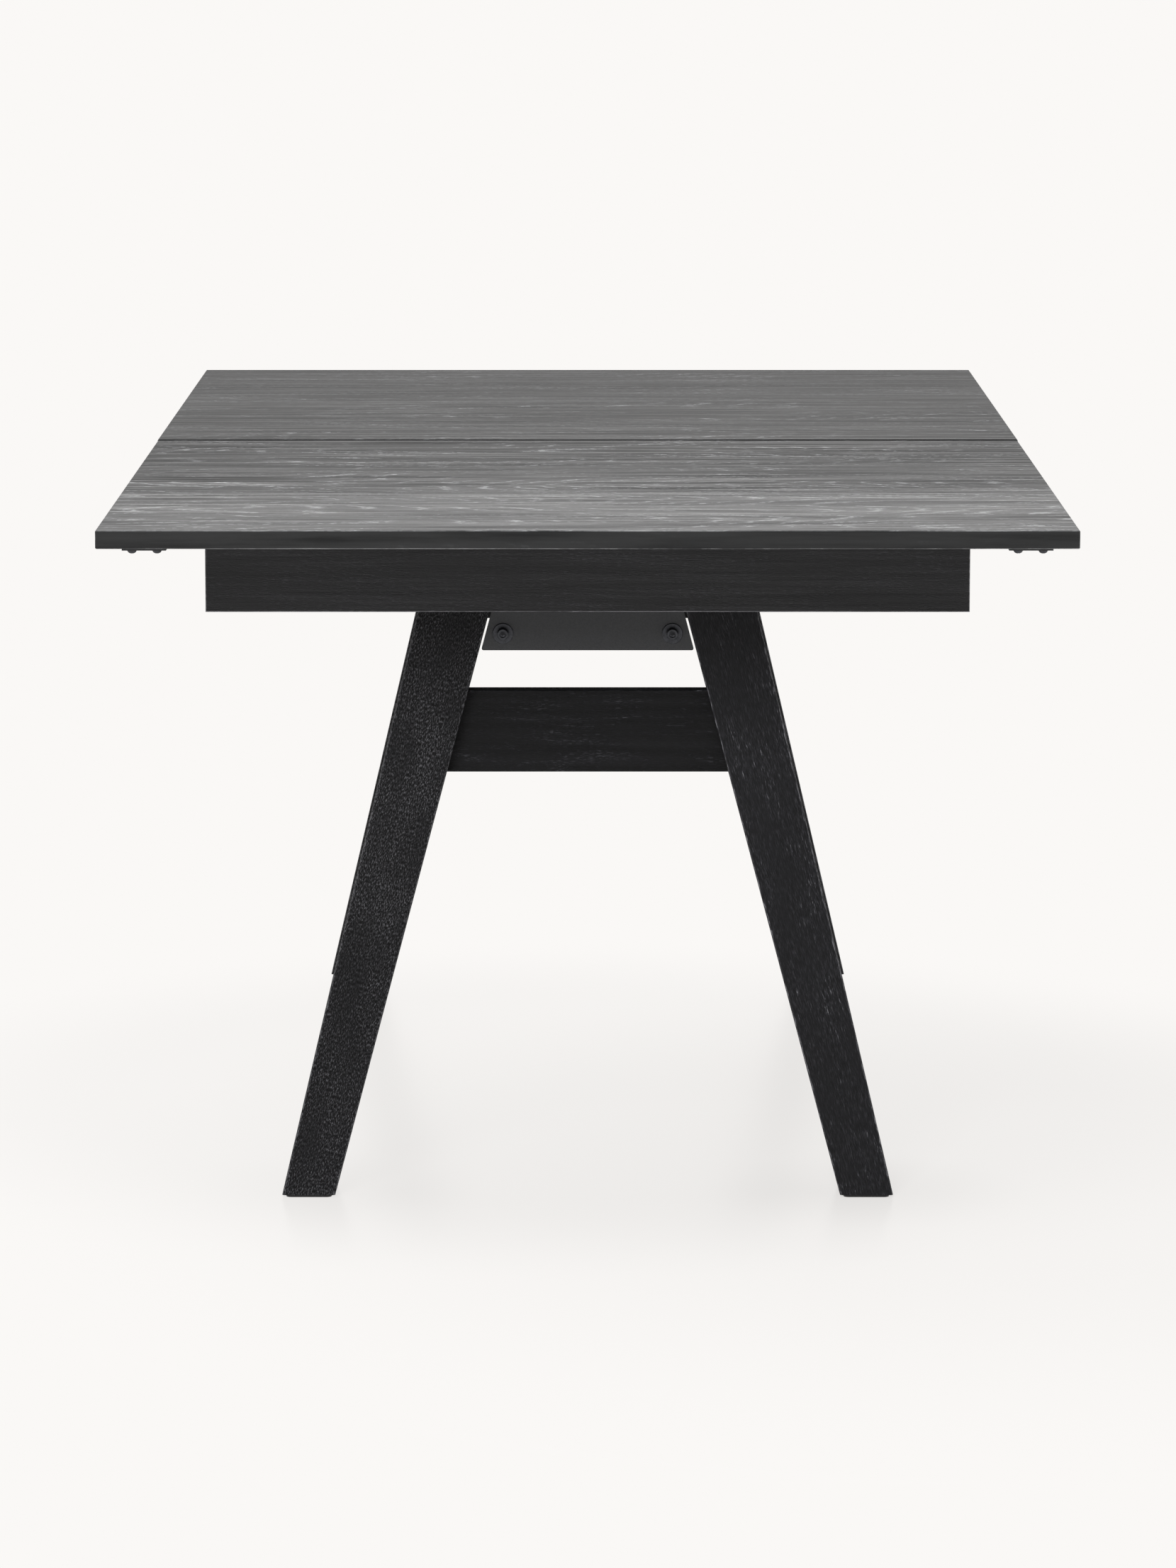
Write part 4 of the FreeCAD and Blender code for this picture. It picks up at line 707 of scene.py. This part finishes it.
glow = addNode(tree, "ShaderNodeEmission", inputs={0: linear(studio["paper"])}).outputs[0]
mixed = addNode(tree, "ShaderNodeMixShader", inputs={0: fades["white"], 1: sheet, 2: glow}).outputs[0]
skin = addNode(tree, "ShaderNodeBsdfGlossy", inputs={"Roughness": studio["skinRoughness"]}).outputs[0]
mixed = addNode(tree, "ShaderNodeMixShader", inputs={0: fades["skin"], 1: mixed, 2: skin}).outputs[0]
addNode(tree, "ShaderNodeOutputMaterial", inputs={0: mixed})
floorMesh.materials.append(paper)

world = bpy.data.worlds.new("studioRoom")
world.use_nodes = True
tree = world.node_tree
tree.nodes.clear()
path = addNode(tree, "ShaderNodeLightPath").outputs
ahead = addNode(tree, "ShaderNodeSeparateXYZ", inputs={
    0: addNode(tree, "ShaderNodeTexCoord").outputs["Generated"]}).outputs[1]
room = addNode(tree, "ShaderNodeMapRange", {"interpolation_type": "SMOOTHSTEP"}, {
    0: ahead, 1: studio["darkTo"], 2: studio["lightFrom"],
    3: studio["roomDark"], 4: studio["roomLight"]}).outputs[0]
level = addNode(tree, "ShaderNodeMath", {"operation": "MULTIPLY"}, {
    0: room, 1: studio["ambient"]}).outputs[0]
for rays, strength in ((path["Is Glossy Ray"], room),
                       (path["Is Camera Ray"], 1.0), (path["Is Transmission Ray"], 1.0)):
    level = addNode(tree, "ShaderNodeMix", {"data_type": "FLOAT"}, {
        0: rays, 2: level, 3: strength}).outputs[0]
sky = addNode(tree, "ShaderNodeBackground", inputs={0: linear(studio["paper"]), 1: level}).outputs[0]
addNode(tree, "ShaderNodeOutputWorld", inputs={0: sky})
scene.world = world

for boxName, (place, target, width, height, watts) in studio["boxes"].items():
    lamp = bpy.data.lights.new(boxName, "AREA")
    lamp.shape = "RECTANGLE"
    lamp.size, lamp.size_y, lamp.energy = width, height, watts
    box = bpy.data.objects.new(boxName, lamp)
    box.location = place
    box.rotation_euler = (Vector(target) - Vector(place)).to_track_quat("-Z", "Y").to_euler()
    box.visible_camera = False
    scene.collection.objects.link(box)

# fitted to the photograph: level, square on, tilted down a little
shot = {"place": (0.0004, -6.941, 1.457), "tiltDown": 9.107, "lens": 137.54, "sensor": 36.0,
        "clip": (0.1, 200.0)}
camera = bpy.data.objects.new("studioCamera", bpy.data.cameras.new("studioCamera"))
camera.data.lens, camera.data.sensor_width = shot["lens"], shot["sensor"]
camera.data.clip_start, camera.data.clip_end = shot["clip"]
camera.location = shot["place"]
camera.rotation_euler = (math.radians(90 - shot["tiltDown"]), 0, 0)
scene.collection.objects.link(camera)
scene.camera = camera
print("studio done")
